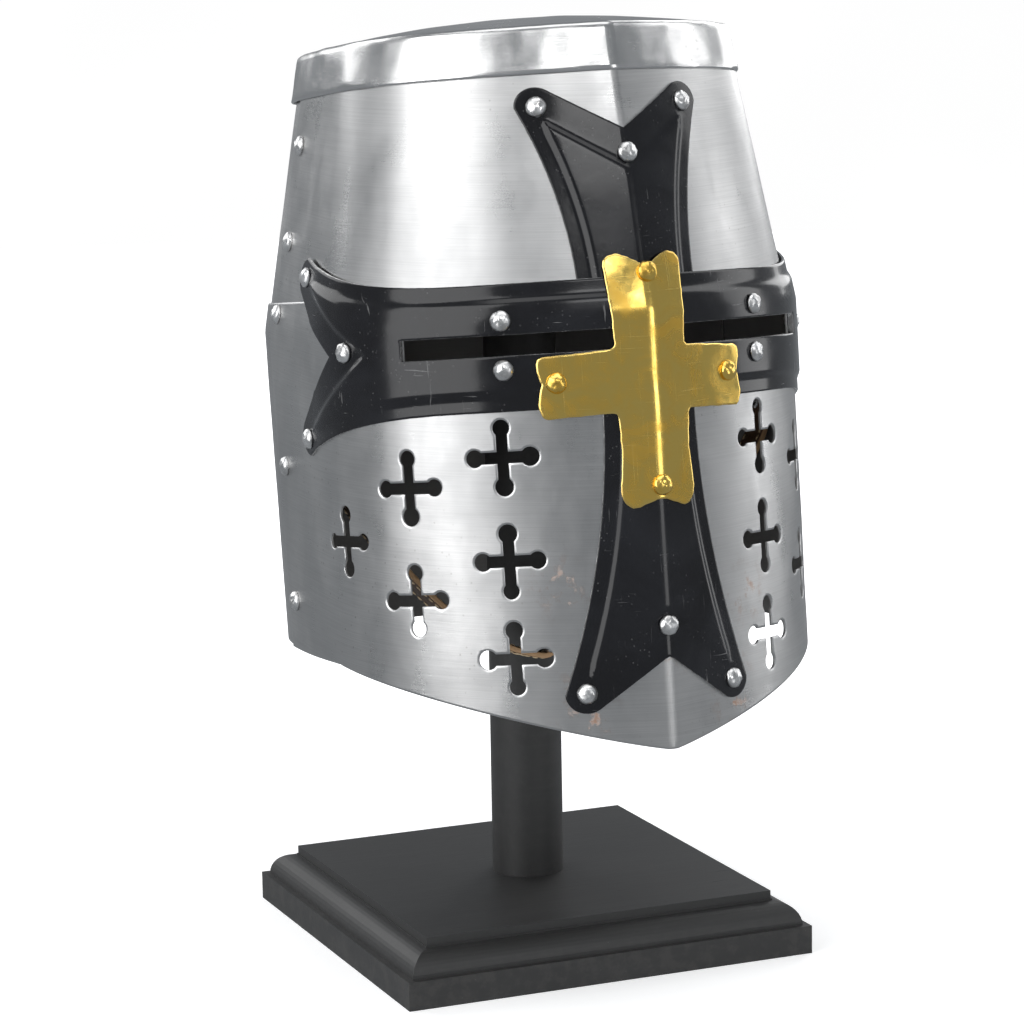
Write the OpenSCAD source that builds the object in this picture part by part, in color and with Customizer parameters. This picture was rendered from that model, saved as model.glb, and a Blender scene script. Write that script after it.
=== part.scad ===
// Great helm of riveted steel plates with a cross on its face, on a wooden display stand.
// Millimetres. The helm faces -Y, +Z is up, and the origin is the centre of the stand's underside,
// on the axis of the post.

/* [Stand] */
// Side of the square base board
board_w = 190; // [150:5:240]
// Thickness of the base board
board_h = 12.5; // [8:0.5:25]
// Side of the moulded plinth's top slab
slab_w = 163; // [120:1:200]
// Height of the moulded plinth above the board
plinth_h = 14.3; // [8:0.1:30]
// Diameter of the post
post_d = 32; // [20:1:50]
// Height of the highest point of the head block
block_top = 358; // [300:1:400]
// Diameter of the head block
block_d = 46; // [36:1:60]

/* [Helm] */
// Lean of the helm back from upright, in degrees
lean = 7; // [0:1:15]
// Height of the helm's front point above the floor, before the lean
tip_z = 104; // [60:1:160]
// Distance of the helm's own axis in front of the post, at the front point's height
axis_ahead = 54; // [0:1:80]
// Half the helm's width at the brow
brow_half_w = 106.5; // [95:0.5:120]
// Half the helm's width at the crown
crown_half_w = 89.5; // [75:0.5:110]
// Depth of the face in front of the axis at the brow, without the keel
brow_front = 93.5; // [80:0.5:120]
// Depth of the face in front of the axis at the crown, without the keel
crown_front = 74; // [60:0.5:110]
// Depth of the skull behind the axis at the brow
brow_back = 130; // [100:1:150]
// Depth of the skull behind the axis at the crown
crown_back = 112; // [80:1:130]
// How far the keel stands out along the centre of the face
keel = 12; // [0:0.5:20]
// Height of the sides of the rim above the front point
rim_rise = 42; // [20:1:60]
// Height of the brow, where the skull starts to taper
brow_z = 180; // [150:1:200]
// Height of the seam between the upper and the lower plates
seam_z = 192; // [180:1:210]
// Height of the lower edge of the crown's flange
crown_z = 279; // [260:1:300]
// Thickness of the steel plates
plate_t = 1.2; // [0.8:0.1:2]

/* [Cross] */
// Height of the middle of the cross
cross_z = 168.5; // [150:0.5:190]
// Half the height of the cross band on the face
band_half = 26; // [18:0.5:36]
// Height of an eye slot
slot_h = 8.6; // [5:0.1:14]
// Distance of an eye slot's outer end from the centre
slot_end = 87.5; // [60:0.5:95]
// How far the panels of the cross are pressed out
panel_rise = 1.2; // [0.4:0.1:2.5]
// Half the width of the brass cross across its arms
brass_half_w = 44; // [30:0.5:60]

/* [Rivets] */
// Diameter of a rivet's head
head_d = 8.6; // [5:0.1:12]
// Diameter of a rivet's shank
shank_d = 3.4; // [2:0.1:5]

/* [Vents] */
// Length of a vent cross from lobe to lobe
vent_l = 31; // [20:1:45]
// Width of a vent cross's bars
vent_bar = 4.8; // [3:0.1:8]
// Diameter of a vent cross's lobes
vent_lobe = 7.3; // [4:0.1:12]

/* [Hidden] */
$fn = 48;

// Colours of the finishes
steel = [0.72, 0.73, 0.74];
black_paint = [0.06, 0.06, 0.07];
brass = [0.83, 0.62, 0.16];
silver = [0.8, 0.8, 0.79];
dark_wood = [0.1, 0.1, 0.1];
leather = [0.2, 0.12, 0.07];
zinc = [0.6, 0.6, 0.6];

// Stand
slab_h = 3.6;
groove = 0.7;
ledge = 3;
screw_d = 5;
screw_head_d = 10;
screw_bite = 30;
screw_sunk = 1;
block_h = 22;
block_crown_r = 110;

// Helm outline
keel_w = 42;
back_round = 3.8;
crown_shift = -2;
turn_step = 2.5;
rear_edge = 105;
back_start = 97.5;
lap = 8;
dome_z = 299;
dome_rise = 7.5;
flange_t = 1.2;

// Each layer of sheet lies a hair clear of the one beneath it
gap = 0.06;
skin = -2.8;
layer_1 = skin + plate_t + gap;
layer_2 = layer_1 + plate_t + gap;
layer_3 = layer_2 + plate_t + gap;
arm_t = 1;
brass_t = 0.9;
brass_in = layer_3 + plate_t + panel_rise + gap;

// Cross
panel_inset = 7;
arm_rivet_side = 32.3;
upper_arm_rivet_z = 265.3;
upper_notch_z = 255;
upper_point_z = 244.8;
lower_arm_rivet_z = 25.6;
lower_notch_z = 38.5;
lower_point_z = 51.5;
side_rivet_y = 11.4;
side_rivet_dz = 33.6;
side_notch_y = -15.4;
side_point_turn = 73.5;
side_point_y = -32;
side_point_dz = 1.5;
lobe_r = 8.2;
slot_start = 11;
brow_rivet_x = 55.2;
brow_rivet_dz = 10;

// Seam rivets: height of each from the crown down
seam_turn = 99.7;
seam_rivet_zs = [259, 218, 187, 121, 62];

// Rivets
head_h = 2.9;
tail_d = 5.6;
tail_h = 1;
tail_gap = 0.2;
hole_d = shank_d + 0.1;

// Vents: turn round the face and height of each, on one side
vent_spots = [[33, 124], [33, 81.5], [33, 41.3], [56.5, 113], [56.5, 66.5], [79.5, 91]];

// Liner
band_low = 175;
band_top = 210;
leather_t = 2.4;
liner_out = -3.2;
flap_out = liner_out - leather_t - 0.7;
flap_t = 2;
flap_low = 194;
flap_bend_z = 206;
flap_rise = 60;
flap_half = 19;
flap_end = 74;
flap_count = 8;
lace_d = 3.5;
lace_r = 33;
lace_y = 5;
lace_z = 265.6;

// Chin strap, hung in a loop from its rivets
strap_w = 18;
strap_t = 2.5;
strap_x = 102.8;
strap_rivet_z = 134;
strap_tab = 12;
strap_sag = 104;
buckle_wire = 2.4;
buckle_w = 25;
bar_x = 9;

function mix(a, b, t) = a + (b - a) * t;
// Share of the taper reached at height z, nothing below the brow
function taper(z) = max(0, (z - brow_z) / (crown_z - brow_z));
function half_w(z) = mix(brow_half_w, crown_half_w, taper(z)) - 1.5 * max(0, (brow_z - z) / brow_z);
function front_d(z) = mix(brow_front, crown_front, taper(z)) - 1.5 * max(0, (brow_z - z) / brow_z);
function back_d(z) = mix(brow_back, crown_back, taper(z));
function keel_at(x, z) = keel * (exp(-abs(x) / keel_w) - exp(-half_w(z) / keel_w));

// Plan outline at turn t (0 in front, 90 at the helm's left) and height z
function outline_x(t, z) = cos(t) > 0 ? half_w(z) * sin(t)
    : half_w(z) * sign(sin(t)) * pow(abs(sin(t)), 2 / back_round);
function outline_y(t, z) = crown_shift * taper(z) + (cos(t) > 0
    ? -front_d(z) * cos(t) - keel_at(half_w(z) * sin(t), z)
    : back_d(z) * pow(abs(cos(t)), 2 / back_round));
function outline(t, z) = [outline_x(t, z), outline_y(t, z), z];
function along(t, z) = outline(t + 0.5, z) - outline(t - 0.5, z);
function unit(v) = v / norm(v);
function level_normal(t, z) = let (d = along(t, z)) unit([d[1], -d[0], 0]);
function skin_point(t, z, off) = outline(t, z) + off * level_normal(t, z);
function up(t, z) = z < brow_z ? [0, 0, 1] : outline(t, z + 0.5) - outline(t, z - 0.5);
function skin_normal(t, z) = unit(cross(along(t, z), up(t, z)));
// Height of the rim, lowest at the front point
function rim_z(t) = rim_rise * pow(sin(min(90, 0.75 * min(abs(t), 360 - abs(t)))), 1.15);
// Turn at which a level line across the face reaches x
function turn_at(x, z) = asin(x / half_w(z));

// Faces of a sheet whose points run by column, then ring, then inside and outside
function sheet_faces(columns, rings, closed) =
    let (count = closed ? columns : columns + 1,
        at = function (i, j, side) ((i % count) * rings + j) * 2 + side)
    concat(
        [for (i = [0:columns - 1]) for (j = [0:rings - 2])
            [at(i, j, 1), at(i, j + 1, 1), at(i + 1, j + 1, 1), at(i + 1, j, 1)]],
        [for (i = [0:columns - 1]) for (j = [0:rings - 2])
            [at(i, j, 0), at(i + 1, j, 0), at(i + 1, j + 1, 0), at(i, j + 1, 0)]],
        [for (i = [0:columns - 1]) [at(i, 0, 0), at(i, 0, 1), at(i + 1, 0, 1), at(i + 1, 0, 0)]],
        [for (i = [0:columns - 1]) let (j = rings - 1)
            [at(i, j, 0), at(i + 1, j, 0), at(i + 1, j, 1), at(i, j, 1)]],
        closed ? [] : [for (j = [0:rings - 2]) each [
            [at(0, j, 0), at(0, j + 1, 0), at(0, j + 1, 1), at(0, j, 1)],
            [at(columns, j, 0), at(columns, j, 1), at(columns, j + 1, 1), at(columns, j + 1, 0)]]]);

// Sheet round the skull between two turns, through the given heights; the lowest may be the rim
module sheet(t0, t1, heights, inner, outer, from_rim = false, closed = false) {
    columns = round((t1 - t0) / turn_step);
    last = closed ? columns - 1 : columns;
    points = [for (i = [0:last]) let (t = t0 + i * turn_step) for (j = [0:len(heights) - 1])
        let (z = from_rim && j == 0 ? rim_z(t) : heights[j])
        for (off = [inner, outer]) skin_point(t, z, off)];
    polyhedron(points, sheet_faces(columns, len(heights), closed), convexity = 6);
}

// Stands children on the skin with their Z along its normal
module on_skin(t, z, off) {
    n = skin_normal(t, z);
    translate(skin_point(t, z, off)) rotate([0, acos(n[2]), atan2(n[1], n[0])]) children();
}

// The helm's own frame, leaned back over the post
module helm() {
    translate([0, -axis_ahead, tip_z]) rotate([-lean, 0, 0]) children();
}

// Domed rivet: the skin is at zero, the peened tail is grip below it
module rivet(grip) {
    ball_r = (head_d * head_d / 4 + head_h * head_h) / (2 * head_h);
    intersection() {
        translate([0, 0, head_h - ball_r]) sphere(ball_r);
        cylinder(d = head_d, h = head_h);
    }
    translate([0, 0, -grip]) cylinder(d = shank_d, h = grip + head_h / 2);
    translate([0, 0, -grip - tail_h]) cylinder(d = tail_d, h = tail_h);
}

// Drill through every layer at each spot, in line with its rivet
module drills(spots) {
    below = 16;
    above = 6;
    for (s = spots) on_skin(s[0], s[1], s[2])
        translate([0, 0, -below]) cylinder(d = hole_d, h = below + above);
}

// Rivets at each spot, each as long as what it holds
module rivets(spots) {
    for (s = spots) on_skin(s[0], s[1], s[2]) rivet(s[2] - s[3] + tail_gap);
}

side_turn = 90.56;
slot_z = cross_z + 1;

// Each spot: turn, height, offset of the head's seat, and the offset of the tail's seat
arm_rivet_spots = concat(
    [for (side = [-1, 1]) [side * turn_at(arm_rivet_side, upper_arm_rivet_z), upper_arm_rivet_z,
        layer_2 + arm_t + gap, layer_1]],
    [[0, upper_point_z, layer_2 + arm_t + gap, layer_1 - 1]],
    [for (side = [-1, 1]) [side * turn_at(arm_rivet_side, lower_arm_rivet_z), lower_arm_rivet_z,
        layer_3 + arm_t + gap, layer_2]],
    [[0, lower_point_z, layer_3 + arm_t + gap, layer_2 - 1]],
    [for (side = [-1, 1]) [side * side_turn, cross_z + side_rivet_dz, layer_3 + plate_t + gap,
        liner_out - leather_t]],
    [for (side = [-1, 1]) [side * side_point_turn, cross_z + side_point_dz, layer_3 + plate_t + gap,
        layer_2]]);
strap_rivet_spots = [for (side = [-1, 1]) [side * side_turn, strap_rivet_z,
    layer_3 + plate_t + gap, layer_2 - strap_t - 0.4]];
brow_rivet_spots = [for (side = [-1, 1]) for (up_down = [-1, 1])
    [side * turn_at(brow_rivet_x, slot_z), slot_z + up_down * brow_rivet_dz,
        layer_3 + plate_t + panel_rise + gap, up_down < 0 ? layer_2 : liner_out - leather_t - 0.5]];
brass_seat = brass_in + brass_t + gap;
brass_rivet_spots = [[0, 196, brass_seat, liner_out - leather_t - 1], [0, 109, brass_seat, layer_2 - 1],
    for (side = [-1, 1]) [side * turn_at(36.8, 153), 153, brass_seat, layer_2]];
back_rivet_spots = [for (t = [150, 180, 210]) [t, seam_z - lap / 2, layer_1 + plate_t + gap,
    liner_out - leather_t]];

function seam_spots(side) = [for (z = seam_rivet_zs) [side * seam_turn, z, z > seam_z ? layer_2 : layer_3,
    z > seam_z ? skin : (z > seam_z - lap ? liner_out - leather_t : layer_1)]];
all_seam_spots = concat(seam_spots(-1), seam_spots(1));
liner_spots = concat(back_rivet_spots, all_seam_spots, arm_rivet_spots, brow_rivet_spots, brass_rivet_spots);

// Half width of a flared arm at distance v along it
function flare(v, v0, v1, w0, w1) = w0 + (w1 - w0) * pow(max(0, (v - v0) / (v1 - v0)), 2);
// One side of an arm, from its root to the given end
function arm_side(root, v0, v1, w0, w1, end) = concat([[w0, root]],
    [for (i = [0:10]) let (v = mix(v0 + 0.5, end, i / 10)) [flare(v, v0, v1, w0, w1), v]]);
function mirrored(side) = [for (i = [len(side) - 1:-1:0]) if (side[i][0] != 0) [-side[i][0], side[i][1]]];

// Arm that flares to two round lobes with a V notch between them, pointing along +Y
module arm_outline(root, v0, v1, w0, lobe_u, notch) {
    d = [lobe_u, v1 - notch];
    reach = sqrt(norm(d) * norm(d) - lobe_r * lobe_r);
    rise = atan2(d[1], d[0]) + asin(lobe_r / norm(d));
    touch = [reach * cos(rise), notch + reach * sin(rise)];
    side = concat(arm_side(root, v0, v1, w0, lobe_u + lobe_r, v1), [touch]);
    polygon(concat(side, [[0, notch]], mirrored(side)));
    for (s = [-1, 1]) translate([s * lobe_u, v1]) circle(lobe_r);
}

// Raised panel of an arm, whose V runs from rivet to rivet
module panel_outline(root, v0, v1, w0, lobe_u, point) {
    tip = [lobe_u - 2, v1 - 6];
    point_back = 5.7;
    side = concat(arm_side(root, v0, v1, w0 - panel_inset, lobe_u + lobe_r - panel_inset, tip[1] - 6), [tip]);
    polygon(concat(side, [[0, point - point_back]], mirrored(side)));
}

// Cutters that carry an outline through the face, upwards or downwards, and through both sides
module through_face() {
    translate([0, 0, cross_z]) rotate([90, 0, 0]) linear_extrude(160) children();
}
module through_face_down() {
    translate([0, 0, 2 * cross_z]) mirror([0, 0, 1]) through_face() children();
}
module through_sides() {
    translate([130, 0, cross_z]) rotate([0, -90, 0]) linear_extrude(260) children();
}

module eye_slots() {
    for (side = [-1, 1]) translate([side * (slot_start + slot_end) / 2, -100, slot_z])
        cube([slot_end - slot_start, 130, slot_h], center = true);
}

module vent() {
    lobe_at = (vent_l - vent_lobe) / 2;
    for (turn = [0, 90]) rotate(turn) {
        square([vent_l - vent_lobe, vent_bar], center = true);
        for (s = [-1, 1]) translate([s * lobe_at, 0]) circle(d = vent_lobe);
    }
}

module vents() {
    for (side = [-1, 1]) for (s = vent_spots)
        on_skin(side * s[0], s[1], 0) translate([0, 0, -8]) linear_extrude(14) vent();
}

// Stand
plinth_top = board_h + plinth_h;
sink = (screw_head_d - screw_d) / 2;

module base_board() {
    color(dark_wood) translate([-board_w / 2, -board_w / 2, 0]) cube([board_w, board_w, board_h]);
}

module plinth_section() {
    foot = board_w / 2 - ledge;
    ovolo = plinth_h - slab_h - groove;
    brow = foot - ovolo;
    side = concat([[foot, board_h]], [for (a = [10:10:90]) [brow + ovolo * cos(a), board_h + ovolo * sin(a)]],
        [[brow, plinth_top - slab_h], [slab_w / 2, plinth_top - slab_h], [slab_w / 2, plinth_top]]);
    polygon(concat(side, mirrored(side)));
}

module base_moulding() {
    color(dark_wood) difference() {
        intersection_for(turn = [0, 90]) rotate(turn)
            translate([0, board_w / 2, 0]) rotate([90, 0, 0]) linear_extrude(board_w) plinth_section();
        base_screw_hole();
    }
}

// Countersunk wood screw, its flat head at zero and its point upwards
module wood_screw(length) {
    cylinder(d1 = screw_head_d, d2 = screw_d, h = sink);
    translate([0, 0, sink]) cylinder(d = screw_d, h = length - sink - screw_d);
    translate([0, 0, length - screw_d]) cylinder(d1 = screw_d, d2 = 0.6, h = screw_d);
}

// The hole it cuts, with room for the head to sit below the surface
module screw_hole(length) {
    translate([0, 0, -screw_sunk]) cylinder(d = screw_head_d, h = 2 * screw_sunk);
    translate([0, 0, screw_sunk]) wood_screw(length);
}

// The base board is glued on below the moulding and covers this screw
module base_screw_hole() {
    translate([0, 0, board_h]) screw_hole(plinth_h + screw_bite);
}

module base_screw() {
    color(zinc) translate([0, 0, board_h + screw_sunk]) wood_screw(plinth_h + screw_bite);
}

module head_screw_hole() {
    translate([0, 0, block_top]) mirror([0, 0, 1]) screw_hole(block_h + screw_bite);
}

module head_screw() {
    color(zinc) translate([0, 0, block_top - screw_sunk]) mirror([0, 0, 1]) wood_screw(block_h + screw_bite);
}

module post() {
    color(dark_wood) difference() {
        translate([0, 0, plinth_top]) cylinder(d = post_d, h = block_top - block_h - plinth_top, $fn = 96);
        base_screw_hole();
        head_screw_hole();
    }
}

module head_block() {
    color(dark_wood) difference() {
        intersection() {
            translate([0, 0, block_top - block_h]) cylinder(d = block_d, h = block_h, $fn = 96);
            translate([0, 0, block_top - block_crown_r]) sphere(block_crown_r, $fn = 96);
        }
        head_screw_hole();
    }
}

// Steel plates
module upper_back_plate() {
    color(steel) helm() difference() {
        sheet(back_start, 360 - back_start, [seam_z - lap, dome_z - 1.4], skin, skin + plate_t);
        drills(concat(all_seam_spots, back_rivet_spots));
    }
}

module upper_front_plate() {
    color(steel) helm() difference() {
        sheet(-rear_edge, rear_edge, [seam_z - lap, dome_z - 1.4], layer_1, layer_1 + plate_t);
        drills(concat(all_seam_spots, arm_rivet_spots, brass_rivet_spots));
    }
}

// Its top corners are cut back, because the upper front plate's lap is there
module lower_back_plate() {
    corner_y = [30, 66.5];
    color(steel) helm() difference() {
        sheet(back_start, 360 - back_start, [0, brow_z, seam_z], layer_1, layer_1 + plate_t, from_rim = true);
        translate([-brow_half_w - 5, corner_y[0], seam_z - lap - 0.3])
            cube([2 * brow_half_w + 10, corner_y[1] - corner_y[0], 2 * lap]);
        drills(concat(all_seam_spots, back_rivet_spots));
    }
}

module lower_front_plate() {
    color(steel) helm() difference() {
        sheet(-rear_edge, rear_edge, [0, brow_z, seam_z], layer_2, layer_2 + plate_t, from_rim = true);
        drills(concat(all_seam_spots, arm_rivet_spots, brow_rivet_spots, brass_rivet_spots,
            strap_rivet_spots));
        eye_slots();
        vents();
    }
}

// Domed top with a flange turned down over the upper plates
module crown_cap() {
    columns = round(360 / turn_step);
    dome_steps = 6;
    outside = layer_2 + flange_t;
    inner = [[crown_z, layer_2], [dome_z - flange_t, layer_2]];
    edge = outside - 0.9;
    outer = [[crown_z, layer_2 + 0.3], [crown_z + 1.5, outside], [dome_z - 1.5, outside], [dome_z, edge]];
    function ring(z, off, share) = [for (i = [0:columns - 1])
        let (p = skin_point(i * turn_step, min(z, dome_z), off)) [p[0] * share, p[1] * share, z]];
    function dome(z, off) = [for (k = [1:dome_steps - 1]) let (share = 1 - k / dome_steps)
        each ring(z + dome_rise * (1 - share * share), off, share)];
    points = concat([for (r = inner) each ring(r[0], r[1], 1)], dome(dome_z - flange_t, layer_2),
        [for (r = outer) each ring(r[0], r[1], 1)], dome(dome_z, edge),
        [[0, 0, dome_z + dome_rise - flange_t], [0, 0, dome_z + dome_rise]]);
    first = len(inner) + dome_steps - 1;
    last = first + len(outer) + dome_steps - 1;
    peak = last * columns;
    around = [0:columns - 1];
    function at(r, i) = r * columns + i % columns;
    inner_walls = [for (r = [0:first - 2]) for (i = around)
        [at(r, i), at(r, i + 1), at(r + 1, i + 1), at(r + 1, i)]];
    outer_walls = [for (r = [first:last - 2]) for (i = around)
        [at(r, i), at(r + 1, i), at(r + 1, i + 1), at(r, i + 1)]];
    lip = [for (i = around) [at(0, i), at(first, i), at(first, i + 1), at(0, i + 1)]];
    tops = [for (i = around) each [[at(first - 1, i), at(first - 1, i + 1), peak],
        [at(last - 1, i), peak + 1, at(last - 1, i + 1)]]];
    color(steel) helm() polyhedron(points, concat(inner_walls, outer_walls, lip, tops), convexity = 4);
}

// Cross pieces
module cross_upper_arm() {
    v1 = upper_arm_rivet_z - cross_z;
    root = seam_z + 0.2 - cross_z;
    color(black_paint) helm() difference() {
        union() {
            intersection() {
                sheet(-30, 30, [185, 278], layer_2, layer_2 + arm_t);
                through_face()
                    arm_outline(root, root, v1, band_half, arm_rivet_side, upper_notch_z - cross_z);
            }
            intersection() {
                sheet(-30, 30, [185, 278], layer_2 + arm_t / 2, layer_2 + arm_t + panel_rise);
                through_face() panel_outline(band_half + 1, root, v1, band_half, arm_rivet_side,
                    upper_point_z - cross_z);
            }
        }
        drills(concat(arm_rivet_spots, brass_rivet_spots));
    }
}

module cross_lower_arm() {
    v1 = cross_z - lower_arm_rivet_z;
    root = band_half + 0.2;
    width = band_half - 6;
    color(black_paint) helm() difference() {
        union() {
            intersection() {
                sheet(-30, 30, [12, 150], layer_3, layer_3 + arm_t);
                through_face_down()
                    arm_outline(root, root, v1, width, arm_rivet_side, cross_z - lower_notch_z);
            }
            intersection() {
                sheet(-30, 30, [12, 150], layer_3 + arm_t / 2, layer_3 + arm_t + panel_rise);
                through_face_down()
                    panel_outline(root, root, v1, width, arm_rivet_side, cross_z - lower_point_z);
            }
        }
        drills(concat(arm_rivet_spots, brass_rivet_spots));
    }
}

module cross_band() {
    root = -140;
    flare_from = -72;
    color(black_paint) helm() difference() {
        union() {
            intersection() {
                sheet(-95, 95, [120, brow_z, 216], layer_3, layer_3 + plate_t);
                through_sides()
                    arm_outline(root, flare_from, side_rivet_y, band_half, side_rivet_dz, side_notch_y);
            }
            intersection() {
                sheet(-95, 95, [120, brow_z, 216], layer_3 + plate_t / 2, layer_3 + plate_t + panel_rise);
                through_sides()
                    panel_outline(root, flare_from, side_rivet_y, band_half, side_rivet_dz, side_point_y);
            }
        }
        drills(concat(arm_rivet_spots, brow_rivet_spots, brass_rivet_spots, strap_rivet_spots));
        eye_slots();
    }
}

// Half of the brass cross's hand-cut outline, from its top notch round to its bottom one
brass_side = [[0, 198.8], [4, 201], [9.7, 204], [13.5, 203], [15.9, 201], [15.1, 183], [14.2, 165.4],
    [brass_half_w - 1, 163.6], [brass_half_w, 159.5], [brass_half_w - 1.8, 152.5],
    [brass_half_w - 0.2, 144.5], [brass_half_w - 1.6, 138.4], [14.6, 139.3], [13.7, 124], [15.2, 105.6],
    [13.3, 101.5], [10, 99.8], [0, 103.6]];

module brass_cross() {
    color(brass) helm() difference() {
        intersection() {
            sheet(-30, 30, [95, brow_z, 208], brass_in, brass_in + brass_t);
            translate([0, 0, -cross_z]) through_face() polygon(concat(brass_side, mirrored(brass_side)));
        }
        drills(brass_rivet_spots);
    }
}

// Rivets
module arm_rivets() {
    color(silver) helm() rivets(arm_rivet_spots);
}

module strap_rivets() {
    color(silver) helm() rivets(strap_rivet_spots);
}

module brow_rivets() {
    color(silver) helm() rivets(brow_rivet_spots);
}

module brass_rivets() {
    color(brass) helm() rivets(brass_rivet_spots);
}

module seam_rivets_left() {
    color(silver) helm() rivets(seam_spots(1));
}

module seam_rivets_right() {
    color(silver) helm() rivets(seam_spots(-1));
}

module back_rivets() {
    color(silver) helm() rivets(back_rivet_spots);
}

// Liner
module liner_band() {
    color(leather) helm() difference() {
        sheet(-180, 180, [band_low, brow_z, band_top], liner_out - leather_t, liner_out, closed = true);
        drills(liner_spots);
    }
}

// Leather petal that rises from the band and folds in over the head; k counts round from the face
module liner_flap(k) {
    middle = (k - 0.5) * 360 / flap_count;
    columns = 8;
    steps = 8;
    stations = concat([-1], [for (i = [0:steps]) flap_end * i / steps]);
    function spot(t, s, off) = let (p = skin_point(t, flap_bend_z, flap_out + off))
        s < 0 ? [p[0], p[1], flap_low]
            : [p[0] * cos(s), p[1] * cos(s), flap_bend_z + (flap_rise + off) * sin(s)];
    points = [for (i = [0:columns]) let (t = middle - flap_half + 2 * flap_half * i / columns)
        for (s = stations) for (off = [-flap_t, 0]) spot(t, s, off)];
    color(leather) helm() polyhedron(points, sheet_faces(columns, len(stations), false), convexity = 4);
}

module liner_flap_1() { liner_flap(1); }
module liner_flap_2() { liner_flap(2); }
module liner_flap_3() { liner_flap(3); }
module liner_flap_4() { liner_flap(4); }
module liner_flap_5() { liner_flap(5); }
module liner_flap_6() { liner_flap(6); }
module liner_flap_7() { liner_flap(7); }
module liner_flap_8() { liner_flap(8); }

// Cord that draws the tips of the flaps together
module liner_lace() {
    color(leather) helm() translate([0, lace_y, lace_z]) rotate_extrude($fn = 64) translate([lace_r, 0])
        circle(d = lace_d, $fn = 24);
}

// Chin strap, in a plane square across the helm. Height 0 is its underside at the middle.
hang = strap_sag - 10;
bar_z = strap_t + 1 + buckle_wire / 2;
fold_r = buckle_wire / 2 + 0.1 + strap_t;
prong_slot = 4.2;

module hung() {
    helm() translate([0, side_rivet_y, strap_rivet_z - strap_sag]) children();
}
module at_bar() {
    translate([bar_x, 0, bar_z]) rotate([90, 0, 0]) children();
}
module across(width) {
    translate([0, width / 2, 0]) rotate([90, 0, 0]) linear_extrude(width) children();
}

// Side view of the strap from x0 out to its rivet
module strap_side(x0) {
    steps = 16;
    outside = strap_x + strap_t;
    top = strap_sag + strap_tab;
    under = [for (i = [0:steps]) let (x = mix(x0, outside, i / steps)) [x, hang * pow(x / outside, 2)]];
    over = [for (i = [steps:-1:0]) let (x = mix(x0, strap_x, i / steps))
        [x, strap_t + (hang - strap_t) * pow(x / strap_x, 2)]];
    polygon(concat(under, [[outside, top], [strap_x, top]], over));
}

// Its end is folded round the buckle's bar and stitched down
module chin_strap_left() {
    color(leather) difference() {
        hung() difference() {
            union() {
                across(strap_w) strap_side(bar_x);
                at_bar() cylinder(r = fold_r, h = strap_w, center = true);
                across(strap_w)
                    polygon([[bar_x, bar_z], [bar_x, bar_z + fold_r], [18, 8.5],
                        [26, 8.8], [26, 7.5], [12, 2]]);
            }
            at_bar() cylinder(d = buckle_wire + 0.2, h = 2 * strap_w, center = true);
            translate([bar_x - 5, -prong_slot / 2, bar_z - 2.7]) cube([8.2, prong_slot, 9]);
        }
        helm() drills(strap_rivet_spots);
    }
}

// It comes up through the buckle and its end lies along the other strap
module chin_strap_right() {
    under = [[-12, 1.3], [-7.5, 0.9], [4.5, 8.7], [14, 8.9], [24, 9.6], [31, 11.6], [38, 15.8]];
    over = [[36.5, 17.8], [29.6, 13.8], [23.4, 12], [13.8, 11.4], [3.6, 11.2], [-8.4, 3.4], [-12, 3.5]];
    color(leather) difference() {
        hung() difference() {
            union() {
                mirror([1, 0, 0]) across(strap_w) strap_side(bar_x);
                across(strap_w) polygon(concat(under, over));
            }
            translate([-7, -prong_slot / 2, 2]) cube([19, prong_slot, 12]);
        }
        helm() drills(strap_rivet_spots);
    }
}

module buckle_frame() {
    color(zinc) hung() translate([0, 0, bar_z]) {
        for (s = [-1, 1]) {
            translate([s * bar_x, 0, 0]) rotate([90, 0, 0])
                cylinder(d = buckle_wire, h = buckle_w, center = true);
            translate([0, s * buckle_w / 2, 0]) rotate([0, 90, 0])
                cylinder(d = buckle_wire, h = 2 * bar_x, center = true);
            for (r = [-1, 1]) translate([s * bar_x, r * buckle_w / 2, 0]) sphere(d = buckle_wire);
        }
    }
}

module buckle_prong() {
    prong_d = 2;
    eye_w = 3.6;
    rise = atan((buckle_wire / 2 + prong_d / 2 + 0.1) / (2 * bar_x));
    color(zinc) hung() translate([bar_x, 0, bar_z]) difference() {
        union() {
            rotate([90, 0, 0]) cylinder(d = buckle_wire + 2.5, h = eye_w, center = true);
            rotate([0, -90 + rise, 0]) cylinder(d = prong_d, h = 2 * bar_x + 2);
        }
        rotate([90, 0, 0]) cylinder(d = buckle_wire + 0.1, h = 2 * eye_w, center = true);
    }
}

base_board();
base_moulding();
base_screw();
post();
head_block();
head_screw();
upper_back_plate();
upper_front_plate();
lower_back_plate();
lower_front_plate();
crown_cap();
cross_upper_arm();
cross_lower_arm();
cross_band();
brass_cross();
arm_rivets();
brow_rivets();
brass_rivets();
seam_rivets_left();
seam_rivets_right();
back_rivets();
liner_band();
liner_flap_1();
liner_flap_2();
liner_flap_3();
liner_flap_4();
liner_flap_5();
liner_flap_6();
liner_flap_7();
liner_flap_8();
liner_lace();
strap_rivets();
chin_strap_left();
chin_strap_right();
buckle_frame();
buckle_prong();
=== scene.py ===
import math
import random

import bpy
import numpy as np
from mathutils import Matrix, Vector, noise
from mathutils.geometry import delaunay_2d_cdt


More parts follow.
